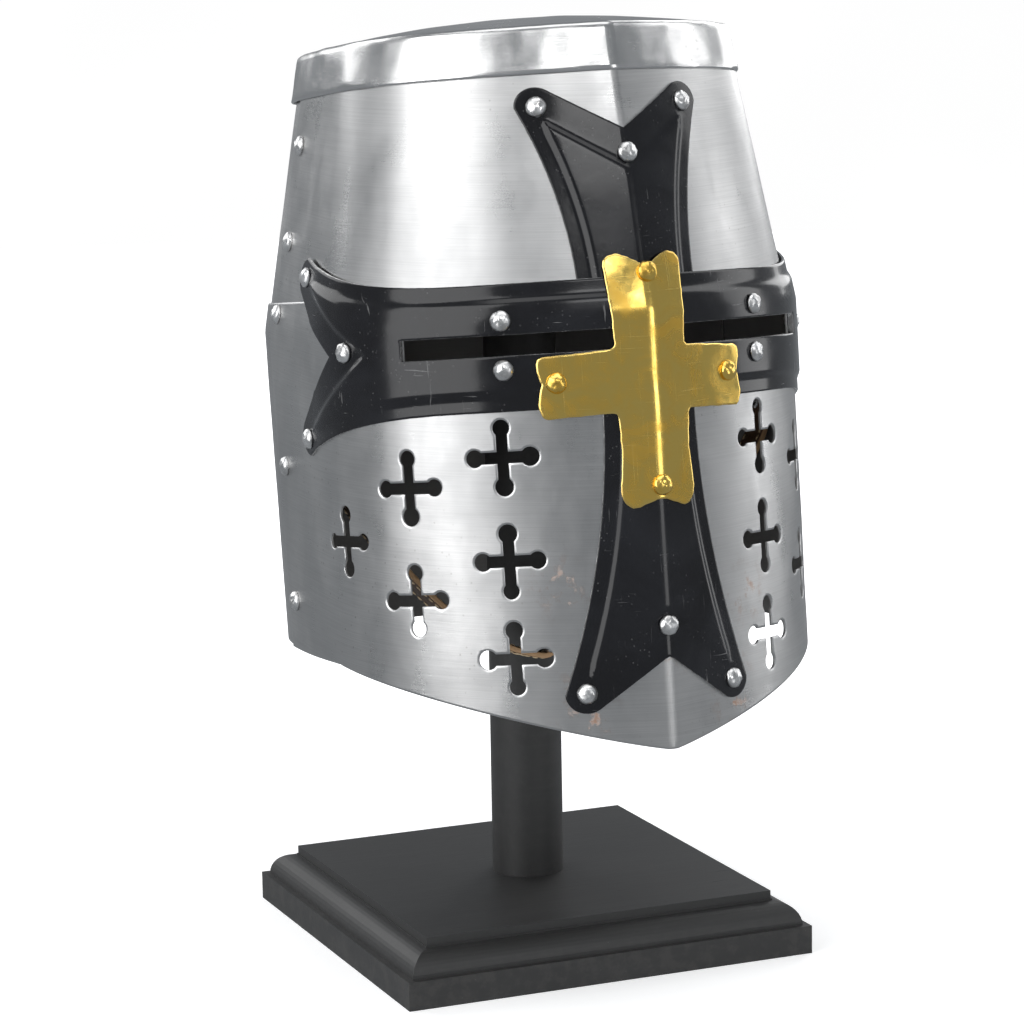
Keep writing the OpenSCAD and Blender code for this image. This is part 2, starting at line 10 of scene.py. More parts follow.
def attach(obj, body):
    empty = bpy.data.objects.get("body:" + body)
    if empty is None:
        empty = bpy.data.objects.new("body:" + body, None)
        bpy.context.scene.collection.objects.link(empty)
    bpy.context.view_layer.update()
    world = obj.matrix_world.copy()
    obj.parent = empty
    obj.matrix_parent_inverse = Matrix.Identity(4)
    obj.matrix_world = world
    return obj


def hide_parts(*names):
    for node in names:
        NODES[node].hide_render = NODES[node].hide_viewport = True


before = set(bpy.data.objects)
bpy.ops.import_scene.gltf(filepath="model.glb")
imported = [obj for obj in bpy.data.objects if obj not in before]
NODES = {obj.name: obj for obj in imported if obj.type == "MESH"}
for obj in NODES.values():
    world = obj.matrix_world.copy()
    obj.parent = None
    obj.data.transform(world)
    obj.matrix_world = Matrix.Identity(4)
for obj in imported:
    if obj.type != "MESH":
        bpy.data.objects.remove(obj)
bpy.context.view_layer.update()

MM = 0.001

# ---- Camera: at the photograph's viewing angle ----
CAMERA_AT = Vector((-0.620114, -1.477294, 0.481722))
CAMERA_TURN, CAMERA_TILT, CAMERA_ROLL = (math.radians(a) for a in (-22.612, 10.306, -1.016))
LENS = 128.73


def direction(turn, tilt):
    """Way out from the helm: turn 0 is in front, a quarter turn is at its left, and tilt is up."""
    return Vector((math.sin(turn) * math.cos(tilt), -math.cos(turn) * math.cos(tilt), math.sin(tilt)))


def make_camera():
    data = bpy.data.cameras.new("camera")
    data.lens, data.sensor_width = LENS, 36
    camera = bpy.data.objects.new("camera", data)
    bpy.context.scene.collection.objects.link(camera)
    back = direction(CAMERA_TURN, CAMERA_TILT)
    level = Vector((math.cos(CAMERA_TURN), math.sin(CAMERA_TURN), 0))
    upright = back.cross(level)
    right = math.cos(CAMERA_ROLL) * level + math.sin(CAMERA_ROLL) * upright
    up = math.cos(CAMERA_ROLL) * upright - math.sin(CAMERA_ROLL) * level
    camera.matrix_world = Matrix.Translation(CAMERA_AT) @ Matrix((right, up, back)).transposed().to_4x4()
    bpy.context.scene.camera = camera


# ---- The helm's own frame, in millimetres, as the CAD has it ----
LEAN = math.radians(7)
AXIS_AHEAD, TIP_Z = 54, 104
BROW_HALF_W, CROWN_HALF_W = 106.5, 89.5
BROW_FRONT, CROWN_FRONT = 93.5, 74
BROW_BACK, CROWN_BACK = 130, 112
KEEL, KEEL_W = 12, 42
BACK_ROUND, CROWN_SHIFT = 3.8, -2
RIM_RISE, BROW_Z, SEAM_Z, CROWN_Z = 42, 180, 192, 279
DOME_Z, DOME_RISE = 299, 7.5
LAP, REAR_EDGE, BACK_START, STEP_TURN = 8, 105, 97.5, 106.2
PLATE_T, GAP, SKIN = 1.2, 0.06, -2.8
LAYER_1 = SKIN + PLATE_T + GAP
LAYER_2 = LAYER_1 + PLATE_T + GAP
LAYER_3 = LAYER_2 + PLATE_T + GAP
ARM_T, BRASS_T, PANEL_RISE = 1, 0.9, 1.2
BRASS_IN = LAYER_3 + PLATE_T + PANEL_RISE + GAP
CROSS_Z, SLOT_Z, BAND_HALF = 168.5, 169.5, 26
LOBE_R, LOBE_OUT = 8.2, 32.3
UPPER_RIVET_Z, UPPER_NOTCH_Z, UPPER_POINT_Z = 265.3, 255, 244.8
LOWER_RIVET_Z, LOWER_NOTCH_Z, LOWER_POINT_Z, LOWER_HALF = 25.6, 38.5, 51.5, 20
PANEL_INSET = 7
SIDE_RIVET_Y, SIDE_RIVET_DZ, SIDE_TURN, SEAM_TURN = 11.4, 33.6, 90.56, 99.7
STRAP_RIVET_Z = 134
LINER_OUT, LEATHER_T = -3.2, 2.4
FLAP_OUT, FLAP_T, FLAP_BEND_Z, FLAP_RISE = LINER_OUT - LEATHER_T - 0.7, 2, 206, 60


def taper(z):
    return np.maximum(0, (z - BROW_Z) / (CROWN_Z - BROW_Z))


def draw_in(z):
    return 1.5 * np.maximum(0, (BROW_Z - z) / BROW_Z)


def half_w(z):
    return BROW_HALF_W + (CROWN_HALF_W - BROW_HALF_W) * taper(z) - draw_in(z)


def outline(turn, z):
    """The skin's x and y at a turn round the helm, 0 in front and 90 at its left."""
    turn, z = np.broadcast_arrays(np.asarray(turn, float), np.asarray(z, float))
    c, s = np.cos(np.radians(turn)), np.sin(np.radians(turn))
    wide, power = half_w(z), 2 / BACK_ROUND
    front = BROW_FRONT + (CROWN_FRONT - BROW_FRONT) * taper(z) - draw_in(z)
    back = BROW_BACK + (CROWN_BACK - BROW_BACK) * taper(z)
    keel = KEEL * (np.exp(-np.abs(wide * s) / KEEL_W) - np.exp(-wide / KEEL_W))
    x = np.where(c > 0, wide * s, wide * np.sign(s) * np.abs(s) ** power)
    y = CROWN_SHIFT * taper(z) + np.where(c > 0, -front * c - keel, back * np.abs(c) ** power)
    return np.stack([x, y], -1)


def level_normal(turn, z):
    d = outline(np.asarray(turn) + 0.5, z) - outline(np.asarray(turn) - 0.5, z)
    n = np.stack([d[..., 1], -d[..., 0]], -1)
    return n / np.linalg.norm(n, axis=-1, keepdims=True)


def skin(turn, z, out=0.0):
    """Points of the helm's skin, moved out along its level normal."""
    xy = outline(turn, z) + np.asarray(out)[..., None] * level_normal(turn, z)
    return np.concatenate([xy, np.broadcast_to(z, xy.shape[:-1])[..., None]], -1)


def skin_normal(turn, z):
    along = skin(turn + 0.5, z) - skin(turn - 0.5, z)
    up = np.array([0, 0, 1.0]) if z < BROW_Z else skin(turn, z + 0.5) - skin(turn, z - 0.5)
    n = np.cross(along, up)
    return n / np.linalg.norm(n)


def to_world(points):
    x, y, z = np.asarray(points, float).T
    return np.stack([x, y * math.cos(LEAN) + z * math.sin(LEAN) - AXIS_AHEAD,
                     z * math.cos(LEAN) - y * math.sin(LEAN) + TIP_Z], -1) * MM


def rim_z(turn):
    away = np.minimum(np.abs(turn), 360 - np.abs(turn))
    return RIM_RISE * np.sin(np.radians(np.minimum(90, 0.75 * away))) ** 1.15


# Distance round the brow for each turn: sheets are cut flat in (distance round, height)
TURNS = np.arange(-200, 381, 0.05)
ROUND = np.concatenate([[0], np.cumsum(np.linalg.norm(np.diff(outline(TURNS, BROW_Z), axis=0), axis=1))])
ROUND = ROUND - np.interp(0, TURNS, ROUND)


def round_at(turn):
    return np.interp(turn, TURNS, ROUND)


def turn_at_round(u):
    return np.interp(u, ROUND, TURNS)


def turn_at_x(x, z):
    return np.degrees(np.arcsin(np.clip(np.asarray(x) / half_w(np.asarray(z, float)), -1, 1)))


def turn_at_y(side, y, z):
    """Turn at which the side of the helm reaches y, at the given height."""
    turns = np.arange(20, 140, 0.25)
    return np.array([side * np.interp(yy, outline(turns, zz)[:, 1], turns) for yy, zz in zip(y, z)])


def seen_from_front(loop):
    x, z = np.asarray(loop, float).T
    return np.stack([round_at(turn_at_x(x, z)), z], -1)


def seen_from_side(side, loop):
    y, z = np.asarray(loop, float).T
    return np.stack([round_at(turn_at_y(side, y, z)), z], -1)


# ---- Materials ----
class Shader:
    """A node material whose nodes are added by name and linked by socket."""

    def __init__(self, name):
        self.material = bpy.data.materials.new(name)
        self.material.use_nodes = True
        self.tree = self.material.node_tree
        self.surface = self.tree.nodes["Principled BSDF"]
        self.place = self.add("ShaderNodeTexCoord").outputs["Object"]

    def add(self, kind, sockets=None, **settings):
        node = self.tree.nodes.new(kind)
        for key, value in settings.items():
            setattr(node, key, value)
        for key, value in (sockets or {}).items():
            self.set(node.inputs[key], value)
        return node

    def set(self, socket, value):
        if isinstance(value, bpy.types.NodeSocket):
            self.tree.links.new(value, socket)
        else:
            socket.default_value = value

    def stretched(self, scale, turn=(0, 0, 0)):
        sockets = {"Vector": self.place, "Scale": scale, "Rotation": turn}
        return self.add("ShaderNodeMapping", sockets).outputs[0]

    def noise(self, scale, detail=3, rough=0.5, where=None, twist=0.0):
        sockets = {"Vector": where or self.place, "Scale": scale, "Detail": detail,
                   "Roughness": rough, "Distortion": twist}
        return self.add("ShaderNodeTexNoise", sockets).outputs["Fac"]

    def cells(self, scale, feature="F1"):
        sockets = {"Vector": self.place, "Scale": scale}
        return self.add("ShaderNodeTexVoronoi", sockets, feature=feature).outputs["Distance"]

    def between(self, value, low, high, start=0.0, end=1.0):
        sockets = {"Value": value, "From Min": low, "From Max": high, "To Min": start, "To Max": end}
        return self.add("ShaderNodeMapRange", sockets, interpolation_type="SMOOTHSTEP").outputs[0]

    def both(self, a, b):
        return self.math("MULTIPLY", a, b)

    def math(self, operation, a, b=0.0):
        node = self.add("ShaderNodeMath", operation=operation)
        self.set(node.inputs[0], a)
        self.set(node.inputs[1], b)
        return node.outputs[0]

    def blend(self, share, a, b):
        node = self.add("ShaderNodeMix", data_type="RGBA")
        for index, value in ((0, share), (6, a), (7, b)):
            self.set(node.inputs[index], value)
        return node.outputs[2]

    def attribute(self, name):
        return self.add("ShaderNodeAttribute", attribute_name=name).outputs["Fac"]

    def bump(self, height, depth, strength=1.0, under=None):
        sockets = {"Height": height, "Distance": depth, "Strength": strength}
        if under is not None:
            sockets["Normal"] = under
        return self.add("ShaderNodeBump", sockets).outputs[0]

    def finish(self, **sockets):
        for key, value in sockets.items():
            self.set(self.surface.inputs[key.replace("_", " ")], value)
        return self.material


def grey(value, warmth=0.0):
    return (value * (1 + warmth), value, value * (1 - warmth), 1)


def sheet_steel(name, tone, rough, streak):
    """Steel sheet brushed level round the helm, with stains, marks, bare cut edges and a dark inner face."""
    s = Shader(name)
    lean = (-LEAN, 0, 0)
    brushed = s.noise(1, 4, 0.6, s.stretched((28, 28, 2600), lean))
    fine = s.noise(1, 2, 0.5, s.stretched((120, 120, 7000), lean))
    clouds = s.noise(14, 4, 0.55, twist=0.4)
    smears = s.noise(38, 5, 0.6, s.stretched((1, 1, 0.45), lean))
    light = s.blend(s.between(clouds, 0.3, 0.72), grey(tone * 0.8), grey(tone, 0.006))
    light = s.blend(s.between(brushed, 0.3, 0.75, 0, streak), light, grey(tone * 0.55))
    specks = s.both(s.between(s.cells(260), 0.16, 0.05), s.between(clouds, 0.45, 0.7))
    light = s.blend(s.both(specks, 0.5), light, grey(0.16, 0.12))
    rust = s.both(s.attribute("stain"), s.between(s.noise(190, 5, 0.7), 0.5, 0.66))
    light = s.blend(s.both(rust, 0.85), light, (0.24, 0.1, 0.035, 1))
    light = s.blend(s.both(s.attribute("edge"), 0.5), light, grey(0.86))
    # scale here only darkens the inner faces nearly to black, and makes them rougher and less metallic
    scale = s.both(s.attribute("inner"), s.between(clouds, 0.3, 0.7, 0.8, 0.93))
    light = s.blend(scale, light, grey(0.035, 0.08))
    roughness = s.math("ADD", s.between(smears, 0.25, 0.75, rough - 0.05, rough + 0.09),
                       s.both(fine, 0.06))
    roughness = s.math("ADD", roughness, s.both(scale, 0.25))
    metal = s.both(s.between(rust, 0.1, 0.7, 1, 0.35), s.between(scale, 0, 1, 1, 0.4))
    level = s.add("ShaderNodeTangent", direction_type="RADIAL", axis="Z").outputs[0]
    normal = s.bump(fine, 0.00003, 0.35, s.bump(brushed, 0.00006, 0.3, s.bump(clouds, 0.0012, 0.16)))
    return s.finish(Base_Color=light, Metallic=metal, Roughness=roughness, Anisotropic=0.55, Tangent=level,
                    Normal=normal)


def black_enamel():
    """Gloss black paint on steel, dusty, scuffed, and worn to the metal at its cut edges."""
    s = Shader("black_enamel")
    dust = s.both(s.between(s.cells(420), 0.2, 0.04), s.between(s.noise(60, 3), 0.42, 0.62))
    haze = s.between(s.noise(22, 4, 0.6, twist=0.5), 0.35, 0.75)
    scratch = s.noise(1, 2, 0.4, s.stretched((900, 60, 60), (0.3, 0.7, 0.2)))
    other = s.noise(1, 2, 0.4, s.stretched((70, 70, 1100), (0.9, 0.2, 0.5)))
    scratches = s.math("MAXIMUM", s.between(scratch, 0.7, 0.76), s.between(other, 0.71, 0.77))
    scratches = s.both(scratches, s.between(s.noise(30, 2), 0.45, 0.6))
    colour = s.blend(haze, (0.004, 0.004, 0.005, 1), (0.009, 0.0095, 0.012, 1))
    colour = s.blend(s.both(dust, 0.25), colour, grey(0.2))
    colour = s.blend(s.both(scratches, 0.4), colour, grey(0.22))
    chipped = s.math("ADD", s.attribute("edge"), s.both(s.noise(260, 4, 0.7), 0.5))
    worn = s.between(chipped, 1.12, 1.32)
    colour = s.blend(worn, colour, grey(0.42))
    roughness = s.math("ADD", s.between(haze, 0, 1, 0.15, 0.26), s.both(scratches, 0.25))
    orange_peel = s.bump(s.noise(700, 2), 0.00004, 0.3, s.bump(s.noise(55, 3), 0.0005, 0.22))
    return s.finish(Base_Color=colour, Metallic=worn, Roughness=roughness, Specular_IOR_Level=0.32,
                    Coat_Weight=0.3, Coat_Roughness=0.1, Normal=orange_peel)


def sheet_brass(name, hammered):
    """Polished brass, mottled where the lacquer is thin, with scratches both ways."""
    s = Shader(name)
    mottle = s.noise(75, 5, 0.62, twist=0.8)
    scratch = s.noise(1, 2, 0.4, s.stretched((2600, 45, 30), (0.2, 0.9, 0.4)))
    other = s.noise(1, 2, 0.4, s.stretched((40, 40, 2700), (0.4, 0.3, 0.2)))
    lines = s.math("MAXIMUM", s.between(scratch, 0.66, 0.76), s.between(other, 0.68, 0.78))
    colour = s.blend(s.between(mottle, 0.35, 0.7), (0.98, 0.7, 0.18, 1), (0.88, 0.55, 0.1, 1))
    colour = s.blend(s.both(lines, 0.2), colour, (0.95, 0.74, 0.34, 1))
    spots = s.both(s.between(s.cells(300), 0.13, 0.05), s.between(mottle, 0.5, 0.7))
    colour = s.blend(s.both(spots, 0.6), colour, (0.3, 0.16, 0.04, 1))
    colour = s.blend(s.both(s.attribute("edge"), 0.35), colour, (1, 0.82, 0.4, 1))
    roughness = s.math("ADD", s.between(mottle, 0.3, 0.72, 0.13, 0.34), s.both(lines, 0.1))
    normal = s.bump(lines, 0.00002, 0.3, s.bump(s.noise(48, 3), 0.0011, 0.35))
    if hammered:
        normal = s.bump(s.cells(330, "SMOOTH_F1"), 0.0005, 0.55, normal)
    return s.finish(Base_Color=colour, Metallic=1.0, Roughness=roughness, Normal=normal)


def rivet_steel():
    s = Shader("rivet_steel")
    facets = s.cells(340, "SMOOTH_F1")
    colour = s.blend(s.between(s.noise(200, 3), 0.35, 0.7), grey(0.88), grey(0.6, 0.01))
    colour = s.blend(s.between(s.attribute("edge"), 0.4, 1), colour, grey(0.3, 0.03))
    roughness = s.between(s.noise(420, 3), 0.3, 0.7, 0.22, 0.42)
    return s.finish(Base_Color=colour, Metallic=1.0, Roughness=roughness,
                    Normal=s.bump(facets, 0.0005, 0.5, s.bump(s.noise(900, 2), 0.0001, 0.4)))


def dull_zinc():
    s = Shader("dull_zinc")
    spangle = s.cells(500)
    colour = s.blend(s.between(spangle, 0.1, 0.5), grey(0.42), grey(0.6, -0.02))
    roughness = s.between(s.noise(300, 3), 0.3, 0.7, 0.34, 0.55)
    return s.finish(Base_Color=colour, Metallic=1.0, Roughness=roughness,
                    Normal=s.bump(s.noise(800, 3), 0.0001, 0.4))


def hide():
    """Dark brown leather: pebbled grain, creases, and paler raw edges."""
    s = Shader("hide")
    pebbles = s.cells(900, "SMOOTH_F1")
    creases = s.noise(120, 5, 0.65, twist=1.2)
    colour = s.blend(s.between(creases, 0.35, 0.7), (0.055, 0.028, 0.014, 1), (0.1, 0.052, 0.026, 1))
    colour = s.blend(s.between(pebbles, 0.1, 0.55, 0, 0.45), colour, (0.03, 0.015, 0.008, 1))
    colour = s.blend(s.both(s.attribute("edge"), 0.85), colour, (0.4, 0.25, 0.13, 1))
    roughness = s.between(creases, 0.3, 0.7, 0.46, 0.66)
    return s.finish(Base_Color=colour, Roughness=roughness, Specular_IOR_Level=0.4,
                    Normal=s.bump(pebbles, 0.00025, 0.5, s.bump(creases, 0.0008, 0.3)))


def thread():
    s = Shader("thread")
    fibres = s.noise(1, 3, 0.6, s.stretched((900, 900, 900), (0.5, 0.5, 0)))
    return s.finish(Base_Color=s.blend(fibres, (0.3, 0.22, 0.13, 1), (0.55, 0.44, 0.29, 1)), Roughness=0.8,
                    Normal=s.bump(fibres, 0.0002, 0.5))


def painted_wood():
    """Satin black paint that lets the grain through, with specks, dust and rubbed arrises."""
    s = Shader("painted_wood")
    grain = s.noise(1, 5, 0.62, s.stretched((26, 330, 330), (0, 0, 0.02)), 0.3)
    haze = s.noise(11, 4, 0.6)
    specks = s.both(s.between(s.cells(330), 0.1, 0.03), s.between(s.noise(35, 3), 0.46, 0.64))
    rubs = s.noise(1, 3, 0.6, s.stretched((60, 400, 300), (0, 0, 0.5)))
    scuffs = s.both(s.between(rubs, 0.64, 0.74), s.between(haze, 0.45, 0.65))
    corner = s.between(s.add("ShaderNodeNewGeometry").outputs["Pointiness"], 0.6, 0.75)
    rubbed = s.both(corner, s.between(s.noise(140, 4, 0.7), 0.45, 0.62))
    colour = s.blend(s.between(haze, 0.3, 0.7), grey(0.03), grey(0.032))
    colour = s.blend(s.between(grain, 0.45, 0.8, 0, 0.3), colour, grey(0.054))
    colour = s.blend(s.both(specks, 0.3), colour, grey(0.17))
    colour = s.blend(s.both(scuffs, 0.05), colour, grey(0.1))
    colour = s.blend(s.both(rubbed, 0.15), colour, grey(0.12, 0.1))
    roughness = s.math("ADD", s.between(haze, 0.3, 0.7, 0.46, 0.51), s.both(scuffs, 0.15))
    return s.finish(Base_Color=colour, Roughness=roughness, Specular_IOR_Level=0.5,
                    Normal=s.bump(grain, 0.0003, 0.22, s.bump(s.noise(600, 2), 0.00008, 0.25)))


def pale_floor():
    s = Shader("pale_floor")
    mottle = s.between(s.noise(3, 2), 0.3, 0.7)
    away = s.add("ShaderNodeVectorMath", operation="LENGTH")
    s.set(away.inputs[0], s.place)
    glow = s.between(away.outputs["Value"], 0.12, 0.55, 0.4, 1.1)
    return s.finish(Base_Color=s.blend(mottle, grey(0.9), grey(0.93)), Roughness=0.75,
                    Emission_Color=grey(1.0), Emission_Strength=glow)


def white_backdrop():
    s = Shader("white_backdrop")
    tone = s.blend(s.between(s.noise(1.5, 1), 0.3, 0.7), grey(0.98), grey(1.0))
    return s.finish(Base_Color=grey(0), Emission_Color=tone, Emission_Strength=1.0)


STEEL = sheet_steel("brushed_steel", 0.66, 0.27, 0.35)
BRIGHT_STEEL = sheet_steel("bright_steel", 0.74, 0.17, 0.16)
BLACK = black_enamel()
BRASS = sheet_brass("polished_brass", False)
BRASS_RIVET = sheet_brass("hammered_brass", True)
RIVET = rivet_steel()
ZINC = dull_zinc()
HIDE = hide()
THREAD = thread()
WOOD = painted_wood()


# ---- Mesh making ----
def piece(name, points, faces, material, body, replaces, attributes=None, sharp=40):
    """A mesh object from helm millimetres that rides on a body and stands for CAD nodes."""
    mesh = bpy.data.meshes.new(name)
    mesh.from_pydata(to_world(points).tolist(), [], [tuple(int(i) for i in f) for f in faces])
    for key in ("edge", "stain", "inner"):
        values = (attributes or {}).get(key)
        layer = mesh.attributes.new(key, "FLOAT", "POINT")
        if values is not None:
            layer.data.foreach_set("value", np.asarray(values, np.float32))
    mesh.shade_smooth()
    mesh.set_sharp_from_angle(angle=math.radians(sharp))
    mesh.materials.append(material)
    obj = bpy.data.objects.new(name, mesh)
    bpy.context.scene.collection.objects.link(obj)
    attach(obj, body)
    if replaces:
        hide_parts(*replaces)
    return obj


def wobble(points, size, seed=0.0):
    """Smooth noise from -1 to 1 whose lumps are about size millimetres across."""
    return np.array([noise.noise(Vector(p) / size + Vector((seed, seed, seed))) for p in points])


def divided(loop, step):
    """A closed loop with points added so that no side is longer than step."""
    loop = np.asarray(loop, float)
    out = []
    for a, b in zip(loop, np.roll(loop, -1, axis=0)):
        count = max(1, int(math.ceil(np.linalg.norm(b - a) / step)))
        out += [a + (b - a) * i / count for i in range(count)]
    return np.array(out)


def inside(points, loops):
    hits = np.zeros(len(points), int)
    x, z = points[:, :1], points[:, 1:]
    for loop in loops:
        a, b = loop, np.roll(loop, -1, axis=0)
        rise = np.where(a[:, 1] == b[:, 1], 1e-9, b[:, 1] - a[:, 1])
        cut = a[:, 0] + (z - a[:, 1]) * (b[:, 0] - a[:, 0]) / rise
        hits += (((a[:, 1] > z) != (b[:, 1] > z)) & (x < cut)).sum(1)
    return hits % 2 == 1


def distance(points, loops):
    best = np.full(len(points), 1e9)
    for loop in loops:
        a, d = loop, np.roll(loop, -1, axis=0) - loop
        for start in range(0, len(points), 2000):
            p = points[start:start + 2000, None, :]
            share = np.clip(((p - a) * d).sum(-1) / np.maximum((d * d).sum(-1), 1e-12), 0, 1)
            away = np.linalg.norm(p - a - share[..., None] * d, axis=-1).min(1)
            best[start:start + 2000] = np.minimum(best[start:start + 2000], away)
    return best


def offset_points(loop, away):
    """The loop's points moved sideways, along the normals of their sides."""
    d = np.roll(loop, -1, axis=0) - np.roll(loop, 1, axis=0)
    n = np.stack([d[:, 1], -d[:, 0]], -1) / np.maximum(np.linalg.norm(d, axis=1), 1e-9)[:, None]
    return loop + away * n


EDGE_ROUND = 0.45
EDGE_FLAT = 1.0
EDGE_DROP = 0.28
FOLD_ROWS = (-2.6, -1.5, -0.5, 0.5, 1.5, 2.6)


def cut_sheet(loops, step, creases=()):
    """Triangles of a flat sheet cut to the first loop, with the others as holes, and its points."""
    loops = [divided(l, min(step, 1.6)) for l in loops]
    steps = (-EDGE_FLAT, -EDGE_ROUND, EDGE_ROUND, EDGE_FLAT)
    rings = [offset_points(l, away) for l in loops for away in steps]
    folds = [offset_points(divided(l, 1.4), away) for l in creases for away in FOLD_ROWS]
    low, high = loops[0].min(0), loops[0].max(0)
    columns = np.arange(math.floor(low[0] / step), math.ceil(high[0] / step) + 1) * step
    rows = np.arange(low[1] + step / 2, high[1], step)
    grid = np.stack(np.meshgrid(columns, rows), -1).reshape(-1, 2)
    if creases:
        grid = grid[distance(grid, [divided(l, 3) for l in creases]) > 2.9]
    free = [grid] + folds
    free = np.concatenate([f for f in free if len(f)])
    free = free[inside(free, loops)]
    free = free[distance(free, loops) > EDGE_FLAT + 0.5]
    ring = np.concatenate(rings)
    ring = ring[inside(ring, loops)]
    ring = ring[distance(ring, loops) > EDGE_ROUND * 0.9]
    points, edges = list(map(tuple, np.concatenate(loops))), []
    start = 0
    for loop in loops:
        edges += [(start + i, start + (i + 1) % len(loop)) for i in range(len(loop))]
        start += len(loop)
    points += list(map(tuple, ring)) + list(map(tuple, free))
    flat, _, faces, _, _, _ = delaunay_2d_cdt([Vector(p) for p in points], edges, [], 0, 1e-4)
    flat = np.array([tuple(p) for p in flat])
    faces = np.array([f for f in faces if len(f) == 3])
    faces = faces[inside(flat[faces].mean(1), loops)]
    return flat, faces, distance(flat, loops)


def ring_faces(rows, count, start=0):
    """Quads between rings of points, each ring farther out or up than the one before."""
    return [(start + r * count + i, start + r * count + (i + 1) % count,
             start + (r + 1) * count + (i + 1) % count, start + (r + 1) * count + i)
            for r in range(rows - 1) for i in range(count)]


def plate(name, material, loops, inner, thick, step=2.6, lift=None, creases=(), dent=0.18, stain=None):
    """Sheet metal cut to loops, bent round the helm, its cut edges rounded over."""
    flat, faces, away = cut_sheet(loops, step, creases)
    turn, z = turn_at_round(flat[:, 0]), flat[:, 1]
    raised = np.zeros(len(flat)) if lift is None else lift(flat)
    raised = raised + dent * wobble(skin(turn, z), 26, 7.3) * np.minimum(1, away / 8)
    rounded = EDGE_DROP * (1 - np.minimum(1, away / EDGE_ROUND)) ** 2
    outer = skin(turn, z, inner + thick + raised - rounded)
    under = skin(turn, z, inner + raised * (0.0 if lift is not None else 1.0))
    count = len(flat)
    sides = {}
    for face in faces:
        for a, b in zip(face, np.roll(face, -1)):
            sides[(a, b)] = True
    rim = [(a, b) for a, b in sides if (b, a) not in sides]
    walls = [(b, a, a + count, b + count) for a, b in rim]
    all_faces = [tuple(f) for f in faces] + [tuple(f[::-1] + count) for f in faces] + walls
    edge = np.exp(-away / 0.5)
    marks = {"edge": np.concatenate([edge, edge]), "inner": np.repeat([0.0, 1.0], count)}
    if stain is not None:
        marks["stain"] = np.concatenate([stain(flat)] * 2)
    return piece(name, np.concatenate([outer, under]), all_faces, material, "helm", [name], marks)


def panel_lift(panels):
    """Pressed-out height of a sheet: full inside the panels, with a rounded shoulder."""
    def lift(flat):
        away = distance(flat, panels) * np.where(inside_any(flat, panels), 1, -1)
        share = np.clip((away + 1.9) / 3.8, 0, 1)
        return PANEL_RISE * share * share * (3 - 2 * share)
    return lift


def inside_any(points, loops):
    result = np.zeros(len(points), bool)
    for loop in loops:
        result |= inside(points, [loop])
    return result


# ---- Outlines ----
def level_strip(t0, t1, low, high):
    """Outline of a plate between two turns, from a height, or a function of the turn, up to another."""
    turns = np.linspace(t0, t1, int((t1 - t0) / 2) + 1)
    bottom = low(turns) if callable(low) else np.full(len(turns), float(low))
    under = np.stack([round_at(turns), bottom], -1)
    return np.concatenate([under, [[round_at(t1), high], [round_at(t0), high]]])


def softened(loop, radius, steps=4):
    """A loop whose corners are rounded."""
    loop = np.asarray(loop, float)
    out = []
    for before, at, after in zip(np.roll(loop, 1, axis=0), loop, np.roll(loop, -1, axis=0)):
        a, b = before - at, after - at
        la, lb = np.linalg.norm(a), np.linalg.norm(b)
        turned = (a @ b) / (la * lb) > -0.9
        if not turned:
            out.append(at)
            continue
        p, q = at + a / la * min(radius, la * 0.45), at + b / lb * min(radius, lb * 0.45)
        for i in range(steps + 1):
            s = i / steps
            out.append((1 - s) ** 2 * p + 2 * s * (1 - s) * at + s * s * q)
    return np.array(out)


def mirrored(side):
    return [(-u, v) for u, v in reversed(side) if u != 0]


def on_circle(u, v, radius, angle):
    return (u + radius * math.cos(angle), v + radius * math.sin(angle))


def flare(v, v0, v1, w0, w1):
    return w0 + (w1 - w0) * max(0, (v - v0) / (v1 - v0)) ** 2


def arm_side(root, v0, v1, w0, w1, end):
    stations = [v0 + 0.5 + (end - v0 - 0.5) * i / 10 for i in range(11)]
    return [(w0, root)] + [(flare(v, v0, v1, w0, w1), v) for v in stations]


def arm_outline(root, v0, v1, w0, lobe_u, notch):
    """Arm that flares to two round lobes with a V notch between them, as (across, along)."""
    d = np.array([lobe_u, v1 - notch])
    length = np.linalg.norm(d)
    rise = math.atan2(d[1], d[0]) + math.asin(LOBE_R / length)
    reach = math.sqrt(length ** 2 - LOBE_R ** 2)
    touch = (reach * math.cos(rise) - lobe_u, notch + reach * math.sin(rise) - v1)
    last = math.atan2(touch[1], touch[0])
    arc = [on_circle(lobe_u, v1, LOBE_R, last * i / 14) for i in range(1, 15)]
    side = arm_side(root, v0, v1, w0, lobe_u + LOBE_R, v1) + arc
    return side + [(0, notch)] + mirrored(side)


def panel_outline(root, v0, v1, w0, lobe_u, point):
    tip = (lobe_u - 2, v1 - 6)
    side = arm_side(root, v0, v1, w0 - PANEL_INSET, lobe_u + LOBE_R - PANEL_INSET, tip[1] - 6) + [tip]
    return side + [(0, point - 5.7)] + mirrored(side)


def upwards(loop):
    return [(u, CROSS_Z + v) for u, v in loop]


def downwards(loop):
    return [(u, CROSS_Z - v) for u, v in loop]


def band_outline(make, *numbers):
    """A loop round the face and both sides, from an outline whose along is the helm's y."""
    loop = make(-140, -72, SIDE_RIVET_Y, BAND_HALF, SIDE_RIVET_DZ, *numbers)
    # Walks from the root's corner round the end and back; the roots meet round the face
    end = [(v, CROSS_Z + u) for u, v in loop if v > -76]
    left = seen_from_side(1, end)
    right = left[::-1] * np.array([-1, 1])
    return np.concatenate([left, right])


